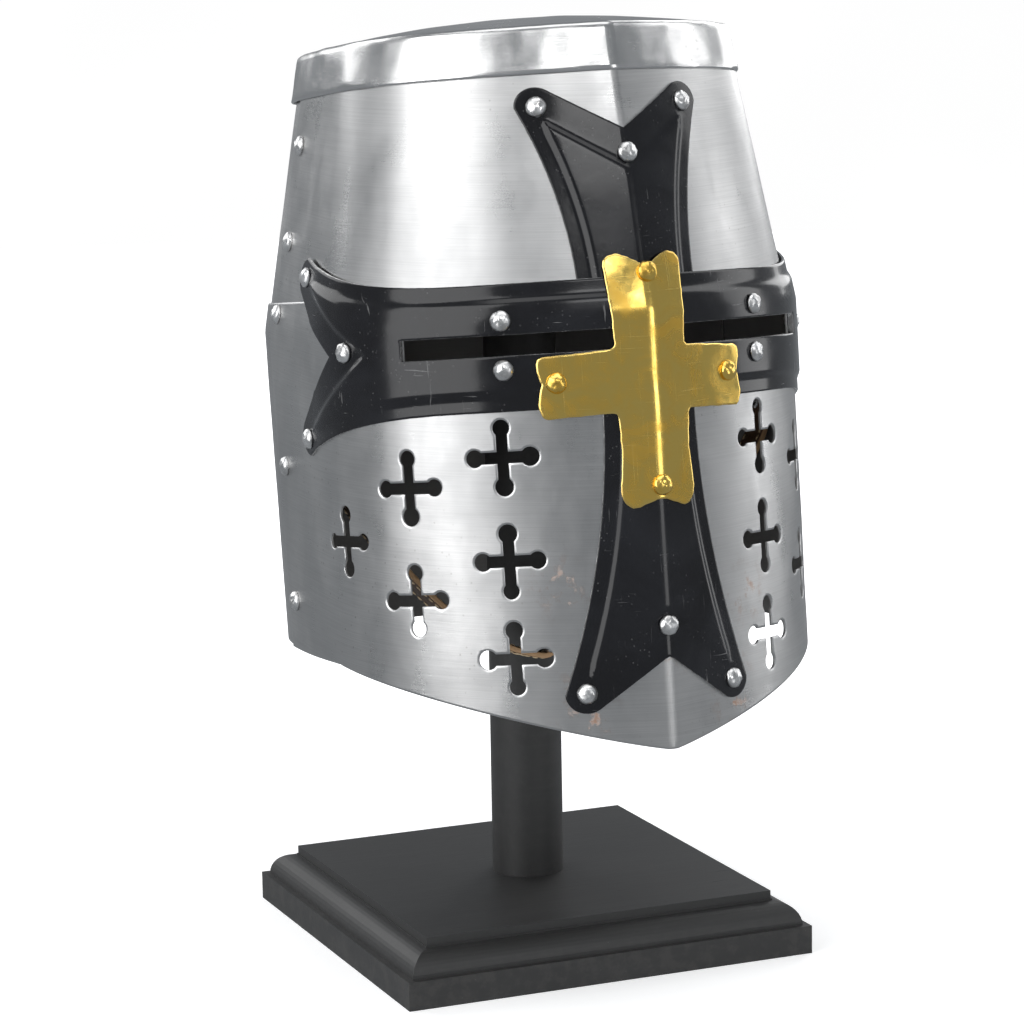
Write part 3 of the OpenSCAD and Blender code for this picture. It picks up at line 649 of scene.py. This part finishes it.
def vent_outline(turn, z, seed):
    """Cross with a round lobe at each end, cut a little unevenly."""
    rng = random.Random(seed)
    length, half_bar, across = 31, 4.8 / 2, 7.3 / 2
    out = []
    for quarter in range(4):
        reach = length / 2 - across + rng.uniform(-0.7, 0.5)
        radius = across * rng.uniform(0.92, 1.12)
        neck = math.degrees(math.asin(min(0.95, half_bar / radius)))
        arm = [on_circle(reach, 0, radius, math.radians(a))
               for a in np.linspace(180 - neck, -180 + neck, 15)]
        c, s = math.cos(math.radians(90 * quarter)), math.sin(math.radians(90 * quarter))
        out += [(x * c - y * s, x * s + y * c) for x, y in arm[::-1] + [(half_bar, half_bar)]]
    return np.array(out) + np.array([round_at(turn), z])


VENT_SPOTS = [(33, 124), (33, 81.5), (33, 41.3), (56.5, 113), (56.5, 66.5), (79.5, 91)]


def slot_outline(side):
    x0, x1, low, high = 11, 87.5, SLOT_Z - 4.3, SLOT_Z + 4.3
    across = np.linspace(x0, x1, 24)
    under = [(side * x, low) for x in across]
    over = [(side * x, high) for x in across[::-1]]
    return seen_from_front(under + over)


def make_plates():
    slots = [slot_outline(1), slot_outline(-1)]
    vents = [vent_outline(side * turn, z, 10 * i + side) for i, (turn, z) in enumerate(VENT_SPOTS)
             for side in (1, -1)]
    under_lobes = [(s * LOBE_OUT, z) for s in (1, -1) for z in (LOWER_RIVET_Z, 15)]
    tips = seen_from_front(under_lobes + [(0, 45), (44, 60), (-40, 70)])

    def stain(flat):
        away = np.min([np.linalg.norm(flat - t, axis=1) for t in tips], axis=0)
        return np.exp(-(away / 9) ** 2)

    front = level_strip(-REAR_EDGE, REAR_EDGE, rim_z, SEAM_Z)
    plate("lower_front_plate", STEEL, [front] + slots + vents, LAYER_2, PLATE_T, stain=stain)
    plate("upper_front_plate", STEEL,
          [level_strip(-REAR_EDGE, REAR_EDGE, SEAM_Z - LAP, DOME_Z - 1.4)], LAYER_1, PLATE_T)
    low = level_strip(BACK_START, 360 - BACK_START, rim_z, SEAM_Z)[:-2]
    cut = SEAM_Z - LAP - 0.3
    near, far = round_at(STEP_TURN), round_at(360 - STEP_TURN)
    corners = [(round_at(360 - BACK_START), cut), (far, cut), (far, SEAM_Z),
               (near, SEAM_Z), (near, cut), (round_at(BACK_START), cut)]
    plate("lower_back_plate", STEEL, [np.concatenate([low, corners])], LAYER_1, PLATE_T)
    plate("upper_back_plate", STEEL,
          [level_strip(BACK_START, 360 - BACK_START, SEAM_Z - LAP, DOME_Z - 1.4)], SKIN, PLATE_T)
    return slots


def pressed(name, loops, panel, inner, thick):
    """A black sheet of the cross with one raised panel."""
    plate(name, BLACK, loops, inner, thick, 1.9, panel_lift([panel]), [panel], 0.12)


def make_cross(slots):
    root = SEAM_Z + 0.2 - CROSS_Z
    v1 = UPPER_RIVET_Z - CROSS_Z
    notch, point = UPPER_NOTCH_Z - CROSS_Z, UPPER_POINT_Z - CROSS_Z
    arm = seen_from_front(upwards(arm_outline(root, root, v1, BAND_HALF, LOBE_OUT, notch)))
    panel = seen_from_front(upwards(panel_outline(root - 8, root, v1, BAND_HALF, LOBE_OUT, point)))
    pressed("cross_upper_arm", [arm], panel, LAYER_2, ARM_T)

    root = BAND_HALF + 0.2
    v1 = CROSS_Z - LOWER_RIVET_Z
    notch, point = CROSS_Z - LOWER_NOTCH_Z, CROSS_Z - LOWER_POINT_Z
    arm = seen_from_front(downwards(arm_outline(root, root, v1, LOWER_HALF, LOBE_OUT, notch)))
    panel = seen_from_front(downwards(panel_outline(root - 8, root, v1, LOWER_HALF, LOBE_OUT, point)))
    pressed("cross_lower_arm", [arm], panel, LAYER_3, ARM_T)

    band = band_outline(arm_outline, -15.4)
    panel = band_outline(panel_outline, -32)
    pressed("cross_band", [band] + slots, panel, LAYER_3, PLATE_T)


BRASS_HALF_W = 44
BRASS_SIDE = [(0, 198.8), (4, 201), (9.7, 204), (13.5, 203), (15.9, 201), (15.1, 183), (14.2, 165.4),
              (BRASS_HALF_W - 1, 163.6), (BRASS_HALF_W, 159.5), (BRASS_HALF_W - 1.8, 152.5),
              (BRASS_HALF_W - 0.2, 144.5), (BRASS_HALF_W - 1.6, 138.4), (14.6, 139.3), (13.7, 124),
              (15.2, 105.6), (13.3, 101.5), (10, 99.8), (0, 103.6)]
BRASS_TOP_Z, BRASS_LOW_Z, BRASS_ARM_X, BRASS_ARM_Z = 196, 109, 36.8, 153


def make_brass():
    loop = softened(BRASS_SIDE + mirrored(BRASS_SIDE), 2.2)
    rng = random.Random(4)
    loop = divided(loop, 2.5) + np.array([[rng.uniform(-0.16, 0.16), rng.uniform(-0.16, 0.16)]
                                          for _ in divided(loop, 2.5)])
    flat_loop = seen_from_front(loop)
    seats = seen_from_front([(0, BRASS_TOP_Z), (0, BRASS_LOW_Z), (BRASS_ARM_X, BRASS_ARM_Z),
                             (-BRASS_ARM_X, BRASS_ARM_Z)])

    def lift(flat):
        away = np.min([np.linalg.norm(flat - s, axis=1) for s in seats], axis=0)
        buckled = 0.35 * np.array([noise.noise(Vector((u / 17, z / 17, 3))) for u, z in flat])
        return buckled - 0.35 * np.exp(-(away / 7) ** 2)
    plate("brass_cross", BRASS, [flat_loop], BRASS_IN, BRASS_T, 1.5, lift, dent=0.1)


# ---- Crown ----
def make_crown():
    turns = np.arange(0, 360, 1.5)
    low, top, bend = LAYER_2, LAYER_2 + 1.2, 2.2
    walls = [(DOME_Z - 1.2, low), (CROWN_Z + 2, low), (CROWN_Z, low), (CROWN_Z, low + 0.7),
             (CROWN_Z + 0.6, top)]
    walls += [(CROWN_Z + h, top) for h in (2, 4, 7, 10, 13, 15.5, 17)]
    walls += [(DOME_Z - 2 + bend * math.sin(a), top - bend * (1 - math.cos(a)))
              for a in np.radians([15, 35, 55, 75])]
    shares = [1 - i / 22 for i in range(1, 22)]
    rings = [(z, out, 1.0) for z, out in walls]
    rings += [(DOME_Z + DOME_RISE * (1 - s * s), top - bend, s) for s in shares]
    under = [(DOME_Z - 1.2 + DOME_RISE * (1 - s * s), low, s) for s in reversed(shares)]
    points, edge = [], []
    for z, out, share in under + rings:
        ring = skin(turns, min(z, DOME_Z), out)
        spot = ring * np.array([share, share, 1])
        dents = (0.55 * wobble(spot, 17, 2.1) + 0.25 * wobble(spot, 8, 5.0)) * min(1, 2 * share)
        if share == 1.0 and z > CROWN_Z + 1:
            ring[:, :2] += dents[:, None] * level_normal(turns, min(z, DOME_Z)) * 0.9
        ring[:, :2] *= share
        ring[:, 2] = z + (0.3 * dents if share < 1 or z > DOME_Z - 1 else 0.12 * dents)
        points.append(ring)
        edge.append(np.full(len(turns), 0.8 if z <= CROWN_Z + 0.6 and share == 1.0 else 0.0))
    count, rows = len(turns), len(points)
    faces = ring_faces(rows, count)
    points = np.concatenate(points + [[[0, 0, DOME_Z + DOME_RISE - 1.2]], [[0, 0, DOME_Z + DOME_RISE]]])
    peak = rows * count
    for i in range(count):
        j = (i + 1) % count
        faces.append((peak, j, i))
        faces.append(((rows - 1) * count + i, (rows - 1) * count + j, peak + 1))
    piece("crown_cap", points, faces, BRIGHT_STEEL, "helm", ["crown_cap"],
          {"edge": np.concatenate(edge + [[0, 0]])}, 50)


# ---- Rivets ----
HEAD_R, HEAD_H, TAIL_R, TAIL_H = 4.3, 2.9, 2.8, 1.0


def rivet_mesh(turn, z, seat, tail, seed):
    """Hammered dome at the seat and a flattened tail inside, in helm millimetres."""
    n = skin_normal(turn, z)
    side = np.cross([0, 0, 1.0], n)
    side /= np.linalg.norm(side)
    up = np.cross(n, side)
    head, foot = skin(turn, z, seat), skin(turn, z, tail)
    angles = np.radians(np.arange(0, 360, 15))
    profile = [(HEAD_R * 0.93, -0.1), (HEAD_R, 0.25)]
    profile += [(HEAD_R * math.cos(a), 0.25 + (HEAD_H - 0.25) * math.sin(a))
                for a in np.radians([12, 25, 38, 52, 66, 80])]
    rng = random.Random(seed)
    tilt = np.array([rng.uniform(-0.35, 0.35), rng.uniform(-0.35, 0.35)])
    points, faces, edge = [], [], []

    def grow(centre, rows, peak, bumpy):
        start = len(points)
        for k, (r, h) in enumerate(rows):
            for a in angles:
                spot = Vector((math.cos(a) * r / 1.7 + seed, math.sin(a) * r / 1.7, h + seed))
                lump = bumpy * noise.noise(spot)
                rr = r + lump * 0.6
                out = np.array([math.cos(a), math.sin(a)]) * rr + tilt * max(0, h) * 0.25
                points.append(centre + side * out[0] + up * out[1] + n * (h + lump * (k > 1)))
                edge.append(1.0 if k == 0 else 0.0)
        points.append(centre + n * peak)
        edge.append(0.0)
        count = len(angles)
        faces.extend(ring_faces(len(rows), count, start))
        last = start + (len(rows) - 1) * count
        for i in range(count):
            faces.append((last + i, last + (i + 1) % count, len(points) - 1))
        faces.append(tuple(start + count - 1 - i for i in range(count)))

    grow(head, profile, HEAD_H, 0.45)
    # The tail is grown inwards, so its frame is turned over
    n, side = -n, -side
    tail_rows = [(TAIL_R, 0.25), (TAIL_R, 0.5), (TAIL_R * 0.85, 0.95), (TAIL_R * 0.4, 1.1)]
    grow(foot, tail_rows, TAIL_H + 0.15, 0.2)
    return points, faces, edge


def rivets(name, material, spots):
    points, faces, edge = [], [], []
    for i, (turn, z, seat, tail) in enumerate(spots):
        p, f, e = rivet_mesh(turn, z, seat, tail, 17 * i + len(name))
        faces += [tuple(k + len(points) for k in face) for face in f]
        points += p
        edge += e
    piece(name, np.array(points), faces, material, "helm", [name], {"edge": edge}, 60)


def make_rivets():
    under_liner = LINER_OUT - LEATHER_T
    arm_seat, low_seat = LAYER_2 + ARM_T + GAP, LAYER_3 + ARM_T + GAP
    band_seat = LAYER_3 + PLATE_T + GAP
    brass_seat = BRASS_IN + BRASS_T + GAP - 0.3
    sides = (1, -1)
    arm = [(s * turn_at_x(LOBE_OUT, UPPER_RIVET_Z), UPPER_RIVET_Z, arm_seat, LAYER_1) for s in sides]
    arm += [(0, UPPER_POINT_Z, arm_seat, LAYER_1 - 1), (0, LOWER_POINT_Z, low_seat, LAYER_2 - 1)]
    arm += [(s * turn_at_x(LOBE_OUT, LOWER_RIVET_Z), LOWER_RIVET_Z, low_seat, LAYER_2) for s in sides]
    arm += [(s * SIDE_TURN, CROSS_Z + SIDE_RIVET_DZ, band_seat, under_liner) for s in sides]
    arm += [(s * 73.5, CROSS_Z + 1.5, band_seat, LAYER_2) for s in sides]
    rivets("arm_rivets", RIVET, [(float(t), z, a, b) for t, z, a, b in arm])
    strap = [(s * SIDE_TURN, STRAP_RIVET_Z, band_seat, LAYER_2 - 2.9) for s in sides]
    rivets("strap_rivets", RIVET, strap)
    rivets("brow_rivets", RIVET,
           [(s * float(turn_at_x(55.2, SLOT_Z)), SLOT_Z + d * 10, band_seat + PANEL_RISE,
             LAYER_2 if d < 0 else under_liner - 0.5) for s in sides for d in sides])
    rivets("brass_rivets", BRASS_RIVET,
           [(0, BRASS_TOP_Z, brass_seat, under_liner - 1), (0, BRASS_LOW_Z, brass_seat, LAYER_2 - 1)]
           + [(s * float(turn_at_x(BRASS_ARM_X, BRASS_ARM_Z)), BRASS_ARM_Z, brass_seat, LAYER_2)
              for s in sides])
    for name, side in (("seam_rivets_left", 1), ("seam_rivets_right", -1)):
        rivets(name, RIVET,
               [(side * SEAM_TURN, z, LAYER_2 if z > SEAM_Z else LAYER_3,
                 SKIN if z > SEAM_Z else (under_liner if z > SEAM_Z - LAP else LAYER_1))
                for z in (259, 218, 187, 121, 62)])
    rivets("back_rivets", RIVET,
           [(t, SEAM_Z - LAP / 2, LAYER_1 + PLATE_T + GAP, under_liner) for t in (150, 180, 210)])


# ---- Leather ----
def tube_faces(rings, around, start=0, closed=False):
    faces = []
    for r in range(rings if closed else rings - 1):
        n = (r + 1) % rings
        for i in range(around):
            j = (i + 1) % around
            faces.append((start + r * around + i, start + n * around + i, start + n * around + j,
                          start + r * around + j))
    if not closed:
        faces.append(tuple(start + i for i in range(around)))
        faces.append(tuple(start + (rings - 1) * around + around - 1 - i for i in range(around)))
    return faces


def strip_section(half, thick, corner=0.7):
    """Rounded rectangle of a leather strip, as (across, out), and how raw each point is."""
    section, raw = [], []
    for cx, cy, first in ((half, thick, 0), (-half, thick, 90), (-half, 0, 180), (half, 0, 270)):
        for a in np.radians(np.arange(first, first + 91, 30)):
            section.append((cx - math.copysign(corner, cx) + corner * math.cos(a),
                            (cy - corner if cy else corner) + corner * math.sin(a)))
            raw.append(abs(math.cos(a)))
    return section, raw


def stitch(points, faces, a, b, out, r=0.42):
    """One raised stitch from a to b, as a small spindle lying on the leather."""
    along = (b - a) / np.linalg.norm(b - a)
    across = np.cross(along, out)
    start = len(points)
    for share, size in ((0, 0.35), (0.2, 0.9), (0.5, 1), (0.8, 0.9), (1, 0.35)):
        centre = a + (b - a) * share + out * r * 0.4
        for k in range(6):
            turn = math.radians(60 * k)
            points.append(centre + r * size * (math.cos(turn) * across + math.sin(turn) * out))
    faces += tube_faces(5, 6, start)


def stitched(name, lines):
    """Thread along each line of (point, outward) pairs, one stitch a pair of points, riding on the helm."""
    points, faces = [], []
    for line in lines:
        for (a, out), (b, _) in zip(line[:-1], line[1:]):
            gap = (b - a) * 0.16
            stitch(points, faces, a + gap, b - gap, out)
    piece(name, np.array(points), faces, THREAD, "helm", None)


def make_liner_band():
    turns = np.arange(0, 360, 2.0)
    low, high = 175, 210
    section, raw = strip_section((high - low) / 2, LEATHER_T)
    points, edge = [], []
    for turn in turns:
        for (across, out), bare in zip(section, raw):
            z = (low + high) / 2 + across
            ripple = 0.12 * noise.noise(Vector((turn / 9, z / 12, 0)))
            points.append(skin(turn, z, LINER_OUT - LEATHER_T + out + min(0.0, ripple)))
            edge.append(bare)
    faces = tube_faces(len(turns), len(section), 0, True)
    piece("liner_band", np.array(points), faces, HIDE, "helm", ["liner_band"], {"edge": edge})
    lines = []
    for z in (low + 3.5, high - 3.5):
        line = []
        for turn in np.arange(0, 361, 2.6):
            n = np.append(level_normal(turn, z), 0)
            line.append((skin(turn, z, LINER_OUT - LEATHER_T), -n))
        lines.append(line)
    stitched("liner_band_stitching", lines)


def flap_point(turn, station, out):
    """Point of the dome that the flaps follow: station is degrees up the dome, below zero the tab."""
    foot = skin(turn, FLAP_BEND_Z, FLAP_OUT + out)
    if station < 0:
        return np.array([foot[0], foot[1], FLAP_BEND_Z + station])
    a = math.radians(station)
    return np.array([foot[0] * math.cos(a), foot[1] * math.cos(a),
                     FLAP_BEND_Z + (FLAP_RISE + out) * math.sin(a)])


def make_flaps():
    lines = []
    half, end, columns = 19, 74, 14
    stations = [-12, -11.4, -8, -4] + list(np.linspace(0, end - 1, 22)) + [end]
    for k in range(1, 9):
        middle = (k - 0.5) * 45
        points, edge = [], []
        for s in stations:
            # The petal's tip is cut round
            narrow = half * (1 - 0.35 * max(0, (s - 56) / 18) ** 2) * (0.985 if s in (-12, end) else 1)
            row = np.linspace(-1, 1, columns + 1)
            for side, across in [(0, c) for c in row] + [(-FLAP_T, c) for c in row[::-1]]:
                ripple = noise.noise(Vector((across * 1.3 + k, s / 22, k * 1.7)))
                curl = 0.45 * ripple * min(1, max(0, s) / 12)
                thin = 0.45 * (abs(across) == 1)
                out = side + (thin if side else -thin) + min(0, curl) - 0.45 * (max(0, s) > 5)
                points.append(flap_point(middle + across * narrow, s, out))
                edge.append(0.9 if abs(across) == 1 or s in (stations[0], end) else 0.0)
        faces = tube_faces(len(stations), 2 * columns + 2)
        node = f"liner_flap_{k}"
        piece(node, np.array(points), faces, HIDE, "helm", [node], {"edge": edge})
        for sign in (-1, 1):
            line = []
            for s in np.arange(4, 66, 4.4):
                turn = middle + sign * (half - 2.6)
                a, b = flap_point(turn, s, -FLAP_T - 0.9), flap_point(turn, s, -FLAP_T)
                line.append((a + (b - a) * 0.45, (a - b) / np.linalg.norm(a - b)))
            lines.append(line)
    stitched("liner_flap_stitching", lines)


def make_lace():
    """Three strands laid together in a ring through the flaps' tips."""
    radius, centre, height, strand, apart, twists = 33, 5, 265.6, 0.98, 0.78, 22
    steps, around = 396, 8
    points, faces = [], []
    for k in range(3):
        start = len(points)
        for i in range(steps):
            a = 2 * math.pi * i / steps
            lay = twists * a + k * 2 * math.pi / 3
            out = np.array([math.cos(a), math.sin(a), 0])
            level = np.array([0, centre, height + apart * math.sin(lay)])
            middle = out * (radius + apart * math.cos(lay)) + level
            for j in range(around):
                b = 2 * math.pi * j / around
                points.append(middle + strand * (math.cos(b) * out + math.sin(b) * np.array([0, 0, 1])))
        faces += tube_faces(steps, around, start, True)
    piece("liner_lace", np.array(points), faces, HIDE, "helm", ["liner_lace"])


STRAP_W, STRAP_T, STRAP_X, STRAP_SAG, HANG = 18, 2.5, 102.8, 104, 94
BAR_X, BAR_Z, BAR_R = 9, 4.7, 1.2


def strap_path(side):
    """Middle line of one half of the chin strap in its own plane, from its rivet to its end."""
    x_top = STRAP_X + STRAP_T / 2
    path = [(x_top, STRAP_SAG + h) for h in (11.5, 8, 4, 0, -5)]
    path += [(x_top * s, STRAP_T / 2 + (HANG - STRAP_T / 2) * s * s) for s in np.linspace(0.985, 0.2, 22)]
    fold = BAR_R + 0.1 + STRAP_T / 2
    if side > 0:
        path += [(BAR_X + 6, 1.35)]
        path += [on_circle(BAR_X, BAR_Z, fold, a) for a in np.radians(np.arange(275, 74, -25))]
        path += [(18, 7.7), (22, 7.6), (26, 8.1)]
        return path
    path = [(-x, z) for x, z in path]
    return path + [(-12, 2.35), (-8, 2.2), (-4, 4.4), (0, 7.3), (4.3, 9.8), (9, 10.1), (14, 10.15),
                   (19, 10.4), (24, 10.9), (30, 12.8), (34, 14.7), (37.2, 16.8)]


def smooth_path(path, step):
    """Even points along a curve through the path's points."""
    path = np.array(path, float)
    padded = np.concatenate([[2 * path[0] - path[1]], path, [2 * path[-1] - path[-2]]])
    out = []
    for p0, p1, p2, p3 in zip(padded[:-3], padded[1:-2], padded[2:-1], padded[3:]):
        for s in np.arange(0, 1, 1 / max(1, int(np.linalg.norm(p2 - p1) / step))):
            out.append(0.5 * (2 * p1 + (p2 - p0) * s + (2 * p0 - 5 * p1 + 4 * p2 - p3) * s * s
                              + (3 * p1 - p0 - 3 * p2 + p3) * s ** 3))
    return np.array(out + [path[-1]])


def in_strap_plane(x, across, z):
    return np.array([x, SIDE_RIVET_Y + across, z + STRAP_RIVET_Z - STRAP_SAG])


def make_straps():
    lines = []
    for node, side in (("chin_strap_left", 1), ("chin_strap_right", -1)):
        path = smooth_path(strap_path(side), 1.6)
        tangents = np.gradient(path, axis=0)
        tangents /= np.linalg.norm(tangents, axis=1)[:, None]
        section, raw = strip_section(STRAP_W / 2, STRAP_T, 0.6)
        points, edge = [], []
        for i, (p, t) in enumerate(zip(path, tangents)):
            out = np.array([-t[1], t[0]])
            last = len(path) - 1 - i
            narrow = 1 - (0.32 * (1 - last / 5) ** 2 if last < 5 and side < 0 else 0.0)
            for (across, h), bare in zip(section, raw):
                spot = p + out * (h - STRAP_T / 2)
                points.append(in_strap_plane(spot[0], across * narrow, spot[1]))
                edge.append(max(bare, 1.0 if i in (0, len(path) - 1) else 0.0))
        faces = tube_faces(len(path), len(section))
        if side > 0:
            faces = [f[::-1] for f in faces]
        piece(node, np.array(points), faces, HIDE, "helm", [node], {"edge": edge})
        pitch = max(1, int(4.6 / 1.6))
        stop = len(path) - (16 if side > 0 else 26)
        for across in (-STRAP_W / 2 + 2.4, STRAP_W / 2 - 2.4):
            for face in (-1, 1):
                line = []
                for i in range(6, stop, pitch):
                    out = np.array([-tangents[i][1], tangents[i][0]]) * face
                    spot = path[i] + out * STRAP_T / 2
                    line.append((in_strap_plane(spot[0], across, spot[1]), np.array([out[0], 0, out[1]])))
                lines.append(line)
    stitched("chin_strap_stitching", lines)


# ---- Carried-over CAD nodes ----
def finish_cad_nodes():
    for name in ("base_board", "base_moulding", "post", "head_block"):
        NODES[name].data.materials.clear()
        NODES[name].data.materials.append(WOOD)
        ease = NODES[name].modifiers.new("eased_edges", "BEVEL")
        ease.width = 1.1 * MM if name.startswith("base") else 0.6 * MM
        ease.segments = 3
        ease.limit_method = "ANGLE"
        ease.angle_limit = math.radians(28)
    for name in ("base_screw", "head_screw", "buckle_frame", "buckle_prong"):
        NODES[name].data.materials.clear()
        NODES[name].data.materials.append(ZINC)


# ---- Studio ----
def stage_mesh(name, points, faces, material):
    mesh = bpy.data.meshes.new(name)
    mesh.from_pydata(points, [], faces)
    mesh.materials.append(material)
    obj = bpy.data.objects.new(name, mesh)
    bpy.context.scene.collection.objects.link(obj)
    return obj


def softbox(name, turn, tilt, away, width, height, power, tone=(1, 1, 1)):
    """Area light aimed at the helm from a turn and a tilt in degrees."""
    data = bpy.data.lights.new(name, "AREA")
    data.shape, data.size, data.size_y = "RECTANGLE", width, height
    data.energy, data.color = power, tone
    light = bpy.data.objects.new(name, data)
    aim = Vector((0, -0.05, 0.26))
    at = aim + away * direction(math.radians(turn), math.radians(tilt))
    light.location = at
    light.rotation_euler = (aim - at).to_track_quat("-Z", "Y").to_euler()
    light.visible_camera = False
    bpy.context.scene.collection.objects.link(light)


FLOOR_R, BACKDROP_R = 3, 8.5


def make_studio():
    rim = [on_circle(0, 0, FLOOR_R, math.radians(a)) + (0,) for a in range(0, 360, 5)]
    floor = stage_mesh("floor", rim, [tuple(range(len(rim)))], pale_floor())
    floor.visible_glossy = False
    rings = [on_circle(0, 0, BACKDROP_R, math.radians(e)) for e in range(-50, 90, 10)]
    points = [on_circle(0, 0, r, math.radians(a)) + (z,) for r, z in rings for a in range(0, 360, 10)]
    faces = [(k * 36 + i, (k + 1) * 36 + i, (k + 1) * 36 + (i + 1) % 36, k * 36 + (i + 1) % 36)
             for k in range(len(rings) - 1) for i in range(36)]
    dome = stage_mesh("backdrop", points, faces, white_backdrop())
    dome.visible_glossy = False
    dome.visible_diffuse = False
    dome.visible_shadow = False
    world = bpy.data.worlds.new("studio")
    world.use_nodes = True
    world.node_tree.nodes["Background"].inputs["Color"].default_value = (0.9, 0.95, 1, 1)
    world.node_tree.nodes["Background"].inputs["Strength"].default_value = 0.28
    bpy.context.scene.world = world
    softbox("key", -70, 20, 1.9, 1.5, 2.0, 22)
    softbox("right", 86, 16, 1.8, 0.6, 1.8, 6)
    softbox("front", 20, 9, 2.0, 0.5, 1.1, 4)
    softbox("top", -10, 80, 1.7, 1.6, 1.2, 9)
    softbox("sheen", -12, 36, 1.9, 0.5, 0.5, 3)
    softbox("back", -150, 28, 2.0, 1.5, 1.4, 12)
    softbox("back_right", 128, 24, 2.0, 1.0, 1.6, 10)
    bpy.context.scene.view_settings.view_transform = "Standard"


def write_sizes():
    bpy.context.view_layer.update()


make_camera()
slot_holes = make_plates()
make_cross(slot_holes)
make_brass()
make_crown()
make_rivets()
make_liner_band()
make_flaps()
make_lace()
make_straps()
finish_cad_nodes()
make_studio()
write_sizes()
